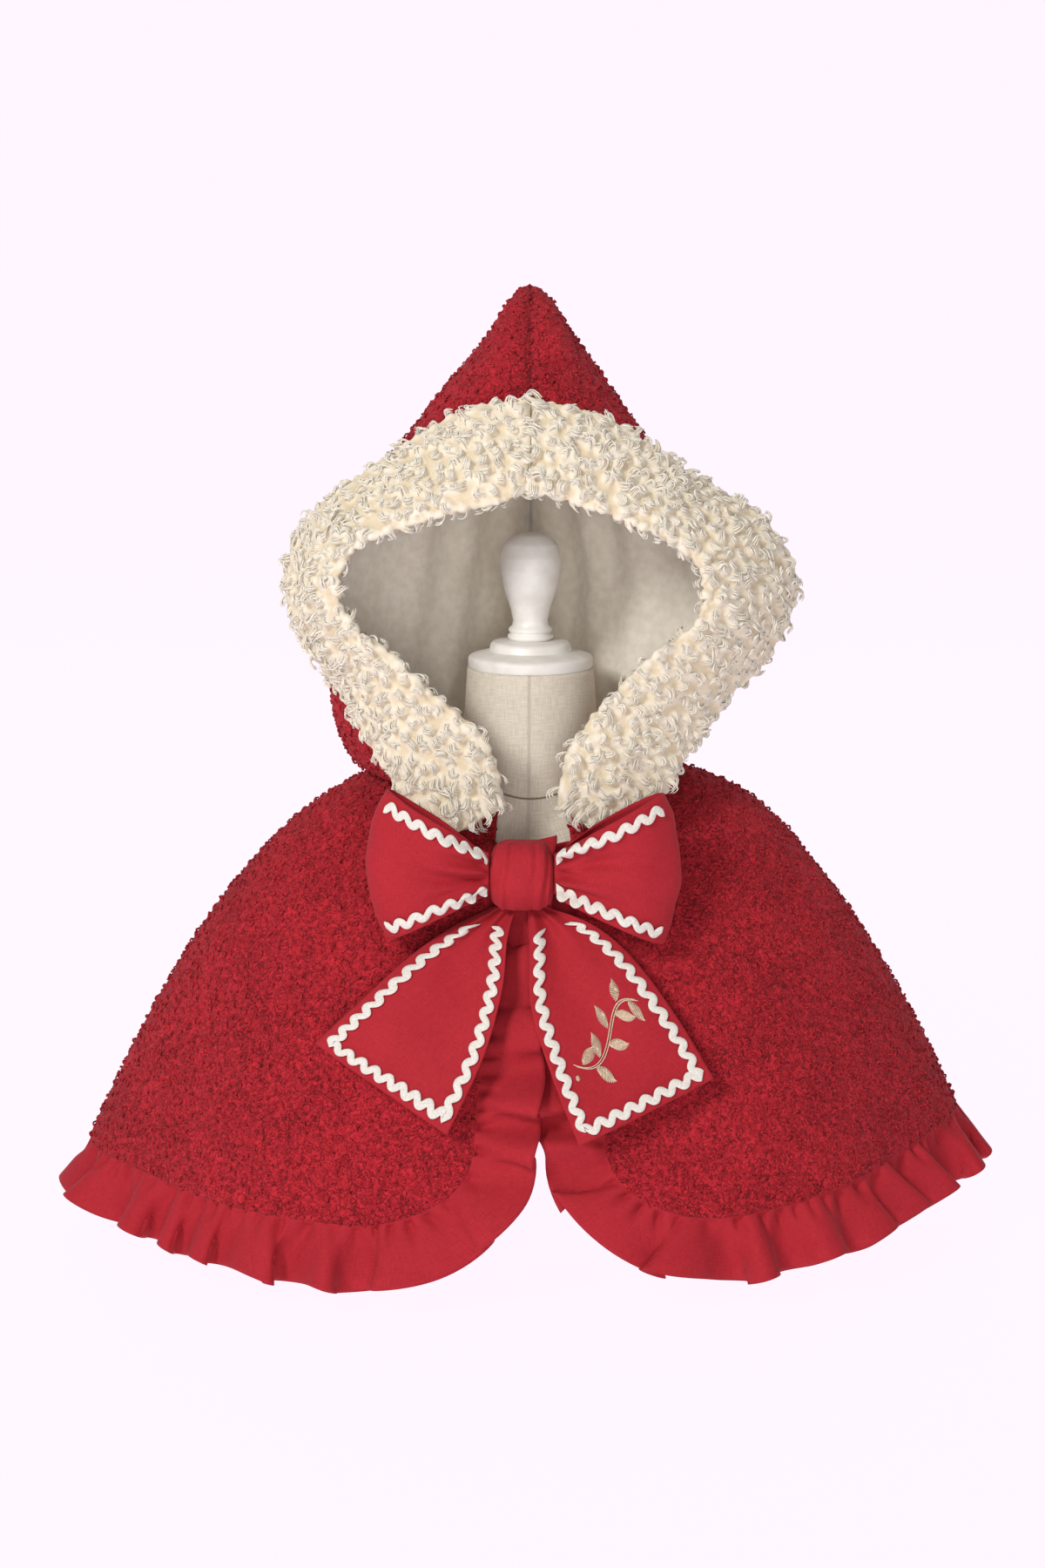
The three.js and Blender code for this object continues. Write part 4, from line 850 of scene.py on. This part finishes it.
def fur_band(name, fur_rows, sign, material, seed):
    """A curly pile band: a lumpy core, and on each lump a lock of fine hairs that curls over it."""
    rng = np.random.default_rng(seed)
    grid, normals = fur_grid(fur_rows, sign, 230, 76, -FUR_PILE)
    where = scattered(grid, FUR_CLUMP, rng)
    centres = sampled(grid, where)
    core = fur_core(name, grid, normals, centres, material, seed)

    # The way each lock lies: it wanders, crosses the top seam and reaches past the lower end
    count = len(where)
    out = unit(sampled(normals, where))
    down = unit(sampled(np.gradient(grid, axis=0), where))
    at = where[:, 0] / len(grid)
    start = np.clip(1 - at / 0.03, 0, 1)
    end = np.clip((at - 0.9) / 0.1, 0, 1)
    inward = np.clip(np.sum(out * unit(centres.mean(axis=0) - centres), axis=-1) - 0.2, 0, 1)
    drift = value_direction(centres, 26, seed)
    wander = unit(drift) + 0.9 * rng.normal(size=(count, 3)) + np.array((0, 0, -0.5))
    wander = wander + down * (2.5 * end - 4.0 * start)[:, None]
    lead = unit(wander - out * np.sum(wander * out, axis=-1, keepdims=True))
    side = np.cross(out, lead)
    size = rng.uniform(0.75, 1.3, count) + 0.5 * inward * rng.random(count) + 0.5 * end * rng.random(count)
    reach = 2.4 * start + 4.5 * end * rng.random(count)
    hand = np.where(rng.random(count) < 0.5, -1.0, 1.0)

    # The hairs of each lock, side by side at the root and drawn together at the tip
    total, steps = count * FUR_HAIRS, len(HAIR_RADII)
    which = np.repeat(np.arange(count), FUR_HAIRS)
    own = rng.normal(size=(total, 3))
    f = np.linspace(0, 1, steps)[None, :]
    longer = (size[which] * (1 + 0.12 * own[:, 0]))[:, None]
    up = LOCK_ROOT + LOCK_RISE * (1 - (1 - np.minimum(f / 0.45, 1)) ** 2) * longer
    up = up - LOCK_DROOP * np.maximum(f - 0.6, 0) / 0.4 + (0.5 * own[:, 1])[:, None] * f
    ahead = LOCK_LENGTH * f - LOCK_HOOK * np.maximum(f - 0.7, 0) / 0.3
    ahead = ahead * longer - LOCK_BACK + reach[which][:, None] * f ** 0.6
    sweep = LOCK_SWEEP * np.sin(2.8 * f) - LOCK_TURN * np.maximum(f - 0.55, 0) / 0.45
    together = 1 - (0.62 + 0.25 * inward[which])[:, None] * f
    spread = rng.uniform(-LOCK_SPREAD, LOCK_SPREAD, total)[:, None] * together
    aside = hand[which][:, None] * sweep + spread
    moves = ((out, up), (lead, ahead), (side, aside))
    path = sum(axis[which][:, None] * run[..., None] for axis, run in moves)
    path = path + centres[which][:, None]
    locks = strands(name + "_locks", path, HAIR_RADII, out[which], material)
    # Each hair is painted darker towards its root, as shade deep in the pile.
    tipped(locks, np.repeat(np.broadcast_to(np.linspace(0.3, 1, steps), (total, steps)).ravel(), 3))
    return core, locks


def tube_object(name, rings, material, uv=None, crisp=False):
    """Closed rings of points capped at both ends."""
    steps, sides = rings.shape[:2]
    faces = grid_faces(steps, sides, closed=True)
    points = np.concatenate([rings.reshape(-1, 3), rings[0].mean(axis=0)[None], rings[-1].mean(axis=0)[None]])
    j = np.arange(sides)
    k = (j + 1) % sides
    start, end = steps * sides, steps * sides + 1
    last = (steps - 1) * sides
    caps = np.concatenate([np.stack([np.full(sides, start), j, k], axis=-1),
                           np.stack([np.full(sides, end), last + k, last + j], axis=-1)])
    triangles = [tuple(int(x) for x in face) for face in caps]
    polygons = [tuple(int(x) for x in face) for face in faces]
    mesh = bpy.data.meshes.new(name)
    mesh.from_pydata([tuple(p) for p in points * MM + AXIS], [], polygons + triangles)
    mesh.validate()
    mesh.update()
    a, b, c = (points[faces[::7, corner]] for corner in range(3))
    if np.sum(a * np.cross(b, c)) < 0:
        mesh.flip_normals()
    if uv is not None:
        layer = mesh.uv_layers.new(name="cloth")
        index = np.zeros(len(mesh.loops), np.int32)
        mesh.loops.foreach_get("vertex_index", index)
        flat = np.concatenate([uv.reshape(-1, 2), np.zeros((2, 2))])
        layer.data.foreach_set("uv", flat[index].ravel())
    piece = linked(name, mesh, material)
    if crisp:
        mesh.set_sharp_from_angle(angle=CRISP_ANGLE)
    return piece


# The bow
def bow_wall(name, place, across, along, push, material):
    outer = place(across, along, push)
    inner = place(across, along, push - BOW_CLOTH)
    return wall(name, outer, inner, material, grid_uv(outer)), push, place


def bow_loop(name, rows, material, seed):
    """A puffed loop whose creases run out from the knot."""
    place = loop_surface(rows)
    around = np.linspace(0, 1, 111)[:, None]
    up = np.linspace(0, 1, 33)[None, :]
    from_knot = np.minimum(around, 1 - around) * 2
    fan = np.sin(up * 21 + 1.3 * np.sin(from_knot * 3 + seed) + seed) * hump(from_knot, 0, 0.42) * CREASE_FAN
    middle = 0.52 + 0.1 * np.sin(from_knot * 2.4 + seed)
    long_crease = LONG_CREASE * hump(up, middle, 0.08) * hump(from_knot, 0.35, 0.3)
    second_crease = SECOND_CREASE * hump(up, 0.27 - 0.12 * from_knot, 0.06) * hump(from_knot, 0.3, 0.22)
    puff = 2.0 * np.sin(math.pi * up) * np.sin(math.pi * from_knot) * np.where(around > 0.5, 1, 0.3)
    rough = value_noise(place(around, up), 14, seed) * 0.8
    push = fan * smooth(from_knot / 0.08) - long_crease - second_crease + puff + rough
    push = push * smooth(from_knot / 0.05)
    return bow_wall(name, place, around, up, push, material)


def bow_knot(name, material):
    """The knot: a strip gathered into uneven upright folds."""
    columns, rows = 72, 40
    z = np.linspace(KNOT_ROWS["z"][0], KNOT_ROWS["z"][-1], rows)
    read = reader(KNOT_ROWS, "z")
    turn = np.arange(columns) * 2 * math.pi / columns
    waves = (("halfX", np.cos(turn)), ("halfY", np.sin(turn)))
    x, y = (np.sign(wave) * np.abs(wave) ** KNOT_ROUNDNESS * read(half, z)[:, None]
            for half, wave in waves)
    f = np.linspace(0, 1, rows)[:, None]
    drift = 1.2 * np.sin(f * 4 + 1)
    broad = 2.6 * np.abs(np.cos(x * 0.42 + 0.5 * drift)) ** 4
    fold = 1.5 - broad - 1.3 * np.abs(np.cos(x * 0.8 + 1 + drift)) ** 5
    fold = fold * (y < 0) * (0.6 + 0.4 * np.abs(2 * f - 1))
    squeeze = 0.93 + 0.09 * np.sin(math.pi * f)
    front = KNOT[1] + y - np.sign(-y) * fold * 0.9
    grid = np.stack([KNOT[0] + x * squeeze, front, z[:, None] + 0 * x], axis=-1)
    uv = np.stack(np.broadcast_arrays(x / 10 * 1.6, z[:, None] / 10), axis=-1)
    return tube_object(name, grid, material, uv)


def bow_tail(name, rows, material, seed):
    place = tail_surface(rows)
    across = np.linspace(0, 1, 57)[None, :]
    down = np.linspace(0, 1, 73)[:, None]
    pleats = TAIL_PLEAT * np.sin(across * 15 + seed) * hump(down, 0, 0.35)
    rough = 0.7 * value_noise(place(across, down), 22, seed)
    wave = 1.3 * np.sin(across * 4.6 + 2.5 * down + seed) * smooth((down - 0.3) / 0.5)
    push = pleats * smooth(down / 0.04) + rough + wave
    return bow_wall(name, place, across, down, push, material)


def surface_reader(push):
    """Extra relief of a bow piece at any place on it, rows first."""
    rows, columns = push.shape

    def read(row_share, column_share):
        where = np.stack([np.ravel(row_share) * (rows - 1), np.ravel(column_share) * (columns - 1)], axis=-1)
        return sampled(push[..., None], where)[:, 0].reshape(np.shape(row_share))
    return read


def braid(name, place_along, length, material):
    """Wavy braid: a flat rounded tape of even waves; place_along(share, off, lift) gives points."""
    along = np.linspace(0, 1, int(length / BRAID_HALF_PERIOD * BRAID_STEPS))
    waves = round(length / BRAID_HALF_PERIOD) * math.pi
    swing = BRAID_SHOWN_SWING * np.cos(along * waves)
    slope = -BRAID_SHOWN_SWING * waves / length * np.sin(along * waves)
    turn = np.arange(BRAID_SIDES) * 2 * math.pi / BRAID_SIDES
    off = swing[:, None] + np.sign(np.cos(turn)) * np.abs(np.cos(turn)) ** 0.7 * (BRAID_WIDTH / 2 - 0.5)
    shift = -0.4 * slope[:, None] * (off - swing[:, None]) / length
    lift = BRAID_LIFT + BRAID / 2 + np.sin(turn)[None, :] * (BRAID / 2 + 0.15) + 0 * off
    return tube_object(name, place_along(np.clip(along[:, None] + shift, 0, 1), off, lift), material)


def loop_braid(name, push, place, edge, material):
    extra = surface_reader(push)
    start, end = LOOP_BRAID
    middle = 0.85 if edge == "top" else 0.15
    line = place(np.linspace(start, end, 31), middle)
    length = float(np.linalg.norm(np.diff(line, axis=0), axis=-1).sum())

    def along(share, off, lift):
        around = mix(start, end, share)
        height = np.linalg.norm(place(around, 1.0) - place(around, 0.0), axis=-1)
        inset = (BRAID_INSET * np.clip(height / 60, 0.55, 1) + off) / height
        up = 1 - inset if edge == "top" else inset
        return place(around, up, lift + extra(around, up))
    return braid(name, along, length, material)


def tail_braid(name, push, place, material):
    extra = surface_reader(push)

    def width_at(down):
        return np.linalg.norm(place(0.0, down) - place(1.0, down), axis=-1)
    long = float(np.linalg.norm(place(0.5, 0.1) - place(0.5, 1.0))) / 0.9
    start, last = TAIL_BRAID_START, 1 - BRAID_INSET / long
    first = float(np.linalg.norm(place(0.1, start) - place(0.1, last)))
    third = float(np.linalg.norm(place(0.9, start) - place(0.9, last)))
    second = float(width_at(1.0)) - 2 * BRAID_INSET
    total = first + second + third
    first_share, last_share = first / total, 1 - third / total

    def along(share, off, lift):
        down1 = mix(start, last, np.clip(share / first_share, 0, 1))
        down2 = mix(last, start, np.clip((share - last_share) / (1 - last_share), 0, 1))
        corner = BRAID_INSET / width_at(last)
        cross = np.clip((share - first_share) / (last_share - first_share), 0, 1)
        on_first, on_last = share < first_share, share > last_share
        across = np.where(on_first, BRAID_INSET / width_at(down1) + off / width_at(down1),
                          np.where(on_last, 1 - BRAID_INSET / width_at(down2) - off / width_at(down2),
                                   mix(corner, 1 - corner, cross)))
        down = np.where(on_first, down1, np.where(on_last, down2, last - off / long))
        return place(across, down, lift + extra(down, across))
    return braid(name, along, total, material)


# Embroidery: a plain leafy sprig
def sprig(name, push, place, material):
    """A curved stem with leaves in satin stitch and a few knots, sewn on a tail."""
    extra = surface_reader(push)
    stitches = []

    def stitch(start, end, height=0.45):
        f = np.linspace(0, 1, 5)[:, None]
        flat = mix(np.asarray(start)[None], np.asarray(end)[None], f)
        stitches.append(np.concatenate([flat, height * np.sin(math.pi * f)], axis=-1))

    share = np.linspace(0, 1, 27)
    stem = np.stack([mix(-25, 25, share), 9 * np.sin(share * 5.2 + 0.4) - 5 * share], axis=-1)
    for start, end in zip(stem[:-1], stem[2:]):
        for beside in (-0.4, 0.4):
            stitch(start + beside, end + beside)
    for n, root in enumerate(stem[2:-2:3]):
        ahead = stem[min(26, 3 * n + 4)] - root
        lean = math.atan2(ahead[1], ahead[0]) + (0.95 if n % 2 else -0.95)
        axis = np.array((math.cos(lean), math.sin(lean)))
        beside = np.array((-axis[1], axis[0]))
        for step in np.linspace(0.06, 1, 15):
            half = 2.5 * math.sin(math.pi * step) ** 0.75 + 0.25
            spot = root + axis * (1.5 + 10 * step)
            stitch(spot - beside * half - axis * 0.8, spot + beside * half + axis * 0.8)
        knot = root - axis * 5.5
        for turn in np.linspace(0, math.pi, 5, endpoint=False):
            spoke = 1.2 * np.array((math.cos(turn), math.sin(turn)))
            stitch(knot - spoke, knot + spoke, 0.8)
    path = np.array(stitches)
    across, down = 0.5 - path[..., 0] / 78, 0.69 + path[..., 1] / 112
    points = place(across, down, 0.25 + path[..., 2] + extra(down, across))
    up = np.broadcast_to(np.array((0.0, -1.0, 0.3)), (len(points), 3))
    return strands(name, points, np.array((0.28, 0.42, 0.46, 0.42, 0.28)), up, material)


# The dress form
def form_torso(name, material):
    down, _, point_at = ring_surface(TORSO_RINGS)
    at = np.linspace(0, down[-1], 110)[:, None]
    turn = np.linspace(0, 2 * math.pi, 129)[None, :-1]
    grid = point_at(turn, at)
    round_run = turn * TORSO_RINGS["left"][NECK_RING] / 10
    uv = np.stack(np.broadcast_arrays(round_run, at / 10), axis=-1)
    return tube_object(name, grid, material, uv)


def turned(name, profile, x, y, foot, material, sides=96, bevel=0.25):
    """A turned solid whose corners are eased."""
    points = np.array(profile, float)
    eased = [points[0]]
    for before, corner, after in zip(points, points[1:], points[2:]):
        for other in (before, after):
            step = other - corner
            reach = min(bevel, np.linalg.norm(step) * 0.35)
            eased.append(corner + step / np.linalg.norm(step) * reach)
    eased.append(points[-1])
    rings = np.array([spot for spot in eased if spot[0] > 0])
    turn = np.arange(sides) * 2 * math.pi / sides
    grid = np.stack([x + rings[:, :1] * np.cos(turn), y + rings[:, :1] * np.sin(turn),
                     foot + rings[:, 1:] + 0 * turn[None, :]], axis=-1)
    return tube_object(name, grid, material, crisp=True)


# Materials
def srgb(*levels):
    """A colour read off a screen, 0 to 255, as the linear values that shaders use."""
    values = [level / 255 for level in levels]
    return tuple(v / 12.92 if v <= 0.04045 else ((v + 0.055) / 1.055) ** 2.4 for v in values) + (1.0,)


class Finish:
    """A Principled material and the few nodes that all the finishes are made with."""

    def __init__(self, name, roughness, sheen=0.0, sheen_tint=(1, 1, 1, 1)):
        self.material = bpy.data.materials.new(name)
        self.material.use_nodes = True
        self.nodes = self.material.node_tree.nodes
        self.links = self.material.node_tree.links
        self.shader = self.nodes["Principled BSDF"]
        self.shader.inputs["Roughness"].default_value = roughness
        self.shader.inputs["Sheen Weight"].default_value = sheen
        self.shader.inputs["Sheen Roughness"].default_value = 0.5
        self.shader.inputs["Sheen Tint"].default_value = sheen_tint
        self.shader.inputs["Specular IOR Level"].default_value = 0.25
        self.place = self.nodes.new("ShaderNodeTexCoord").outputs["Object"]

    def noise(self, size_mm, detail=2.0, place=None, curl=0.0):
        node = self.nodes.new("ShaderNodeTexNoise")
        node.inputs["Distortion"].default_value = curl
        node.inputs["Scale"].default_value = 1000.0 / size_mm
        node.inputs["Detail"].default_value = detail
        self.links.new(place or self.place, node.inputs["Vector"])
        return node.outputs["Fac"]

    def stretched(self, across_cm, along_cm):
        """Cloth coordinates drawn out along one thread direction, as cells."""
        uv = self.nodes.new("ShaderNodeUVMap")
        uv.uv_map = "cloth"
        scale = self.nodes.new("ShaderNodeMapping")
        scale.inputs["Scale"].default_value = (1 / across_cm, 1 / along_cm, 1)
        self.links.new(uv.outputs["UV"], scale.inputs["Vector"])
        return self.noise(1000.0, 1.0, scale.outputs["Vector"])

    def weave(self, warp, weft):
        """The mean of two sets of threads, each drawn out along its own direction."""
        return self.maths("MULTIPLY", self.maths("ADD", self.stretched(*warp), self.stretched(*weft)), 0.5)

    def weighted(self, main, share, other):
        rest = self.maths("MULTIPLY", other, 1 - share)
        return self.maths("ADD", self.maths("MULTIPLY", main, share), rest)

    def maths(self, operation, a, b=0.0, clamp=False):
        node = self.nodes.new("ShaderNodeMath")
        node.operation = operation
        node.use_clamp = clamp
        for socket, value in zip(node.inputs, (a, b)):
            if isinstance(value, (int, float)):
                socket.default_value = value
            else:
                self.links.new(value, socket)
        return node.outputs["Value"]

    def ramp(self, factor, *stops):
        node = self.nodes.new("ShaderNodeValToRGB")
        elements = node.color_ramp.elements
        while len(elements) < len(stops):
            elements.new(0.5)
        for element, (position, colour) in zip(elements, stops):
            element.position = position
            element.color = colour
        self.links.new(factor, node.inputs["Fac"])
        return node.outputs["Color"]

    def colour(self, output):
        self.links.new(output, self.shader.inputs["Base Color"])

    def bump(self, height, depth_mm, strength=1.0):
        node = self.nodes.new("ShaderNodeBump")
        node.inputs["Distance"].default_value = depth_mm * MM
        node.inputs["Strength"].default_value = strength
        self.links.new(height, node.inputs["Height"])
        self.links.new(node.outputs["Normal"], self.shader.inputs["Normal"])


def wool_with_painted_shade(name, dark, middle, light):
    finish = Finish(name, 0.95, 0.2, srgb(230, 120, 125))
    loops = finish.noise(2.7, 2, curl=1.6)
    # The colour follows the loops' bumps and is darker where they are low: painted shade in the hollows
    # between the loops, with random tone from the broad noise.
    tone = finish.weighted(loops, 0.85, finish.noise(40))
    finish.colour(finish.ramp(tone, (0.36, dark), (0.5, middle), (0.64, light)))
    finish.bump(loops, 1.0, 1.6)
    return finish.material


def plain_cloth_finish():
    finish = Finish("plain_red_cloth", 0.82, 0.1, srgb(240, 150, 155))
    threads = finish.weave((0.05, 0.6), (0.6, 0.05))
    tone = finish.weighted(threads, 0.8, finish.noise(30))
    finish.colour(finish.ramp(tone, (0.38, srgb(155, 25, 37)), (0.62, srgb(173, 34, 46))))
    finish.bump(threads, 0.3, 0.5)
    return finish.material


def fur_lock_finish():
    finish = Finish("fur_locks", 0.85, 0.4)
    tip = finish.nodes.new("ShaderNodeAttribute")
    tip.attribute_name = "tip"
    uneven = finish.maths("MULTIPLY", finish.maths("SUBTRACT", finish.noise(6), 0.5), 0.6)
    blend = finish.maths("ADD", tip.outputs["Fac"], uneven)
    # Darker and yellower at the roots than at the tips: painted shade deep in the pile. The noise adds random
    # tone.
    root, middle, end = srgb(216, 199, 170), srgb(226, 214, 194), srgb(234, 227, 214)
    finish.colour(finish.ramp(blend, (0.0, root), (0.3, middle), (0.75, end)))
    finish.bump(finish.noise(0.9, 3), 0.4, 0.5)
    finish.shader.inputs["Subsurface Weight"].default_value = 0.2
    finish.shader.inputs["Subsurface Radius"].default_value = (0.003, 0.0026, 0.002)
    return finish.material


def mottled_finish(name, roughness, sheen, mottle, dark, light, grain=None):
    """Two close colours in soft patches; grain is the size, detail, depth and strength of its bumps."""
    finish = Finish(name, roughness, sheen)
    finish.colour(finish.ramp(finish.noise(mottle), (0.3, srgb(*dark)), (0.7, srgb(*light))))
    if grain:
        size, detail, depth, strength = grain
        finish.bump(finish.noise(size, detail), depth, strength)
    return finish.material


def linen_finish(seam_cm):
    finish = Finish("form_linen", 0.9, 0.15)
    threads = finish.weave((0.06, 0.9), (0.8, 0.06))
    uv = finish.nodes.new("ShaderNodeUVMap")
    uv.uv_map = "cloth"
    split = finish.nodes.new("ShaderNodeSeparateXYZ")
    finish.links.new(uv.outputs["UV"], split.inputs["Vector"])
    off = finish.maths("ABSOLUTE", finish.maths("SUBTRACT", split.outputs["Y"], seam_cm))
    seam = finish.maths("SUBTRACT", 1.0, finish.maths("DIVIDE", off, 0.09), True)
    cloth = finish.ramp(threads, (0.36, srgb(204, 192, 175)), (0.64, srgb(226, 216, 202)))
    joined = finish.nodes.new("ShaderNodeMix")
    joined.data_type = "RGBA"
    finish.links.new(seam, joined.inputs["Factor"])
    finish.links.new(cloth, joined.inputs["A"])
    joined.inputs["B"].default_value = srgb(112, 84, 62)
    finish.colour(joined.outputs["Result"])
    finish.bump(finish.maths("SUBTRACT", threads, seam), 0.5, 0.8)
    return finish.material


def paint_finish():
    finish = Finish("painted_wood", 0.42)
    finish.shader.inputs["Specular IOR Level"].default_value = 0.5
    finish.colour(finish.ramp(finish.noise(14, 4), (0.25, srgb(222, 216, 208)), (0.6, srgb(238, 235, 231))))
    finish.bump(finish.noise(5, 3), 0.15, 0.5)
    return finish.material


def floor_finish():
    finish = Finish("floor", 0.9)
    finish.shader.inputs["Base Color"].default_value = (0.02, 0.02, 0.02, 1)
    finish.shader.inputs["Emission Color"].default_value = (1.0, 0.913, 1.0, 1)
    finish.shader.inputs["Emission Strength"].default_value = 0.99
    return finish.material


# Lit and shaded copies of one wool: the panels are painted darker as shade under the yarn loops, and the
# loops are painted lighter as lit yarn.
WOOL_BASE_SHADED = wool_with_painted_shade("wool_base", srgb(104, 12, 22), srgb(160, 26, 38), srgb(192, 38, 50))
WOOL_YARN_LIT = wool_with_painted_shade("wool_yarn", srgb(132, 18, 29), srgb(172, 29, 41), srgb(198, 40, 52))
PLAIN_RED = plain_cloth_finish()
FUR_LOCKS = fur_lock_finish()
LINING = mottled_finish("hood_lining", 0.95, 0.3, 6, (224, 215, 201), (237, 230, 218), (1.2, 3, 0.35, 0.6))
BRAID_CLOTH = mottled_finish(
    "wavy_braid", 0.85, 0.2, 1.2, (206, 199, 190), (228, 223, 216), (0.7, 2, 0.3, 0.8))
NECK_SEAM_CM = ring_surface(TORSO_RINGS)[0][NECK_SEAM_RING] / 10
LINEN = linen_finish(NECK_SEAM_CM)
PAINT = paint_finish()
THREAD = mottled_finish("beige_thread", 0.6, 0.2, 1.5, (196, 168, 140), (226, 204, 180))


# Putting the pieces together
def finish_piece(piece, slot, *nodes):
    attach(piece, ROOT)
    if nodes:
        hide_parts(*nodes)
    return piece


def wool_panel(panel, curls_name, node, seed):
    """Finishes a wool panel, given as its piece, points and normals, with its yarn loops."""
    piece, outer, normals = panel
    finish_piece(piece, "wool_boucle", node)
    yarn = finish_piece(curls(curls_name, outer, normals, WOOL_YARN_LIT, seed), "wool_boucle")
    return piece


# Each side: the wearer's, first random seed, front edge, fur, direction in x, bow loop and tail
SIDES = (
    ("right", 10, FRONT_EDGES["left"], FUR_LEFT, -1, LOOP_LEFT, TAIL_LEFT),
    ("left", 50, FRONT_EDGES["right"], FUR_RIGHT, 1, LOOP_RIGHT, TAIL_RIGHT),
)
for wearer, seed, edge, fur_rows, sign, loop_rows, tail_rows in SIDES:
    angle, at = front_grid(edge, 24, 70, 84)
    panel = cape_panel(f"wool_front_{wearer}", angle, at, WOOL_BASE_SHADED, seed)
    front = wool_panel(panel, f"curls_front_{wearer}", f"cape_front_{wearer}", seed + 1)
    panel = hood_half(f"wool_hood_{wearer}", fur_rows, sign, WOOL_BASE_SHADED, seed + 2)
    hood = wool_panel(panel, f"curls_hood_{wearer}", f"hood_{wearer}", seed + 3)

    lining = hood_lining(f"lining_{wearer}", fur_rows, sign, LINING, seed + 4)
    finish_piece(lining, "hood_lining", f"hood_lining_{wearer}")

    core, locks = fur_band(f"fur_{wearer}", fur_rows, sign, FUR_LOCKS, seed + 5)
    finish_piece(core, "fur_trim", f"fur_band_{wearer}")
    finish_piece(locks, "fur_trim")

    ruffle = frill(f"frill_{wearer}", front_sewing_line(edge), sign, edge["over"], PLAIN_RED, seed + 6)
    finish_piece(ruffle, "plain_red_cloth", f"frill_front_{wearer}")

    loop, push, place = bow_loop(f"loop_{wearer}", loop_rows, PLAIN_RED, seed + 7)
    finish_piece(loop, "plain_red_cloth", f"bow_loop_{wearer}")
    trims = []
    for border in ("top", "bottom"):
        tape = loop_braid(f"braid_{wearer}_{border}", push, place, border, BRAID_CLOTH)
        trims.append(finish_piece(tape, "wavy_braid", f"braid_loop_{wearer}_{border}"))

    tail, push, place = bow_tail(f"tail_{wearer}", tail_rows, PLAIN_RED, seed + 8)
    finish_piece(tail, "plain_red_cloth", f"bow_tail_{wearer}")
    tape = tail_braid(f"braid_tail_{wearer}", push, place, BRAID_CLOTH)
    trims = [finish_piece(tape, "wavy_braid", f"braid_tail_{wearer}")]
    if wearer == "left":
        trims.append(finish_piece(sprig("sprig_left", push, place, THREAD), "plain_red_cloth"))

angle, at = back_grid(108, 80)
panel = cape_panel("wool_back", angle, at, WOOL_BASE_SHADED, 90)
back = wool_panel(panel, "curls_back", "cape_back", 91)

ruffle = frill("frill_hem", back_sewing_line(), 1, 0, PLAIN_RED, 92)
finish_piece(ruffle, "plain_red_cloth", "frill_back")

knot = bow_knot("knot", PLAIN_RED)
finish_piece(knot, "plain_red_cloth", "bow_knot")

torso = form_torso("torso", LINEN)
finish_piece(torso, "form_linen", "form_torso")
cap = turned("neck_cap", CAP_PROFILE, 0, 0, NECK_TOP, PAINT)
finish_piece(cap, "painted_wood", "form_neck_cap")
finial = turned("finial", FINIAL_PROFILE, 0, 0, CAP_TOP, PAINT)
finish_piece(finial, "painted_wood", "form_finial")
for end, y in (("front", -FOOT_Y), ("back", FOOT_Y)):
    for wearer, x in (("right", -FOOT_X), ("left", FOOT_X)):
        foot = turned(f"foot_{end}_{wearer}_turned", FOOT_PROFILE, x, y, 0, PAINT, 48)
        finish_piece(foot, "painted_wood", f"foot_{end}_{wearer}")


# Floor and backdrop, lights and camera
def sweep(material):
    """A floor that curves up into a backdrop behind the object."""
    reach, radius, height = 4.0, 2.0, 5.0
    turn = np.linspace(0, math.pi / 2, 24)
    y = np.concatenate([[-reach], reach / 2 + radius * np.sin(turn), [reach / 2 + radius]])
    z = np.concatenate([[0], radius * (1 - np.cos(turn)), [height]])
    x = np.array((-6.0, 6.0))
    points = [(float(a), float(b), float(c)) for b, c in zip(y, z) for a in x]
    faces = [(2 * i, 2 * i + 1, 2 * i + 3, 2 * i + 2) for i in range(len(y) - 1)]
    mesh = bpy.data.meshes.new("sweep")
    mesh.from_pydata(points, [], faces)
    return linked("sweep", mesh, material)


def aim(piece, place, target):
    piece.location = place
    piece.rotation_euler = (Vector(target) - Vector(place)).to_track_quat("-Z", "Y").to_euler()


def area_light(name, place, size, watts, colour):
    data = bpy.data.lights.new(name, "AREA")
    data.size = size
    data.energy = watts
    data.color = colour
    piece = bpy.data.objects.new(name, data)
    bpy.context.scene.collection.objects.link(piece)
    aim(piece, place, (0, 0, 0.3))


floor = sweep(floor_finish())
area_light("key", (-1.2, -1.8, 1.6), 0.6, 37, (1.0, 1.0, 0.965))
area_light("front", (0.1, -2.4, 0.5), 0.9, 19, (1.0, 1.0, 0.97))
area_light("top", (0.2, 0.2, 2.6), 1.4, 9, (1.0, 1.0, 0.97))

world = bpy.data.worlds.new("studio")
world.use_nodes = True
world.node_tree.nodes["Background"].inputs["Color"].default_value = (0.96, 0.94, 0.95, 1)
world.node_tree.nodes["Background"].inputs["Strength"].default_value = 0.18
bpy.context.scene.world = world

scene = bpy.context.scene
scene.view_settings.view_transform = "Standard"
camera_data = bpy.data.cameras.new("camera")
camera_data.lens = 61.82
camera_data.sensor_width = 36
camera = bpy.data.objects.new("camera", camera_data)
scene.collection.objects.link(camera)
aim(camera, AXIS + np.array((-5, -1668.8, 614.4)) * MM, AXIS + np.array((-5, 0, 290)) * MM)
scene.camera = camera
scene.render.resolution_x = 1200
scene.render.resolution_y = 1800
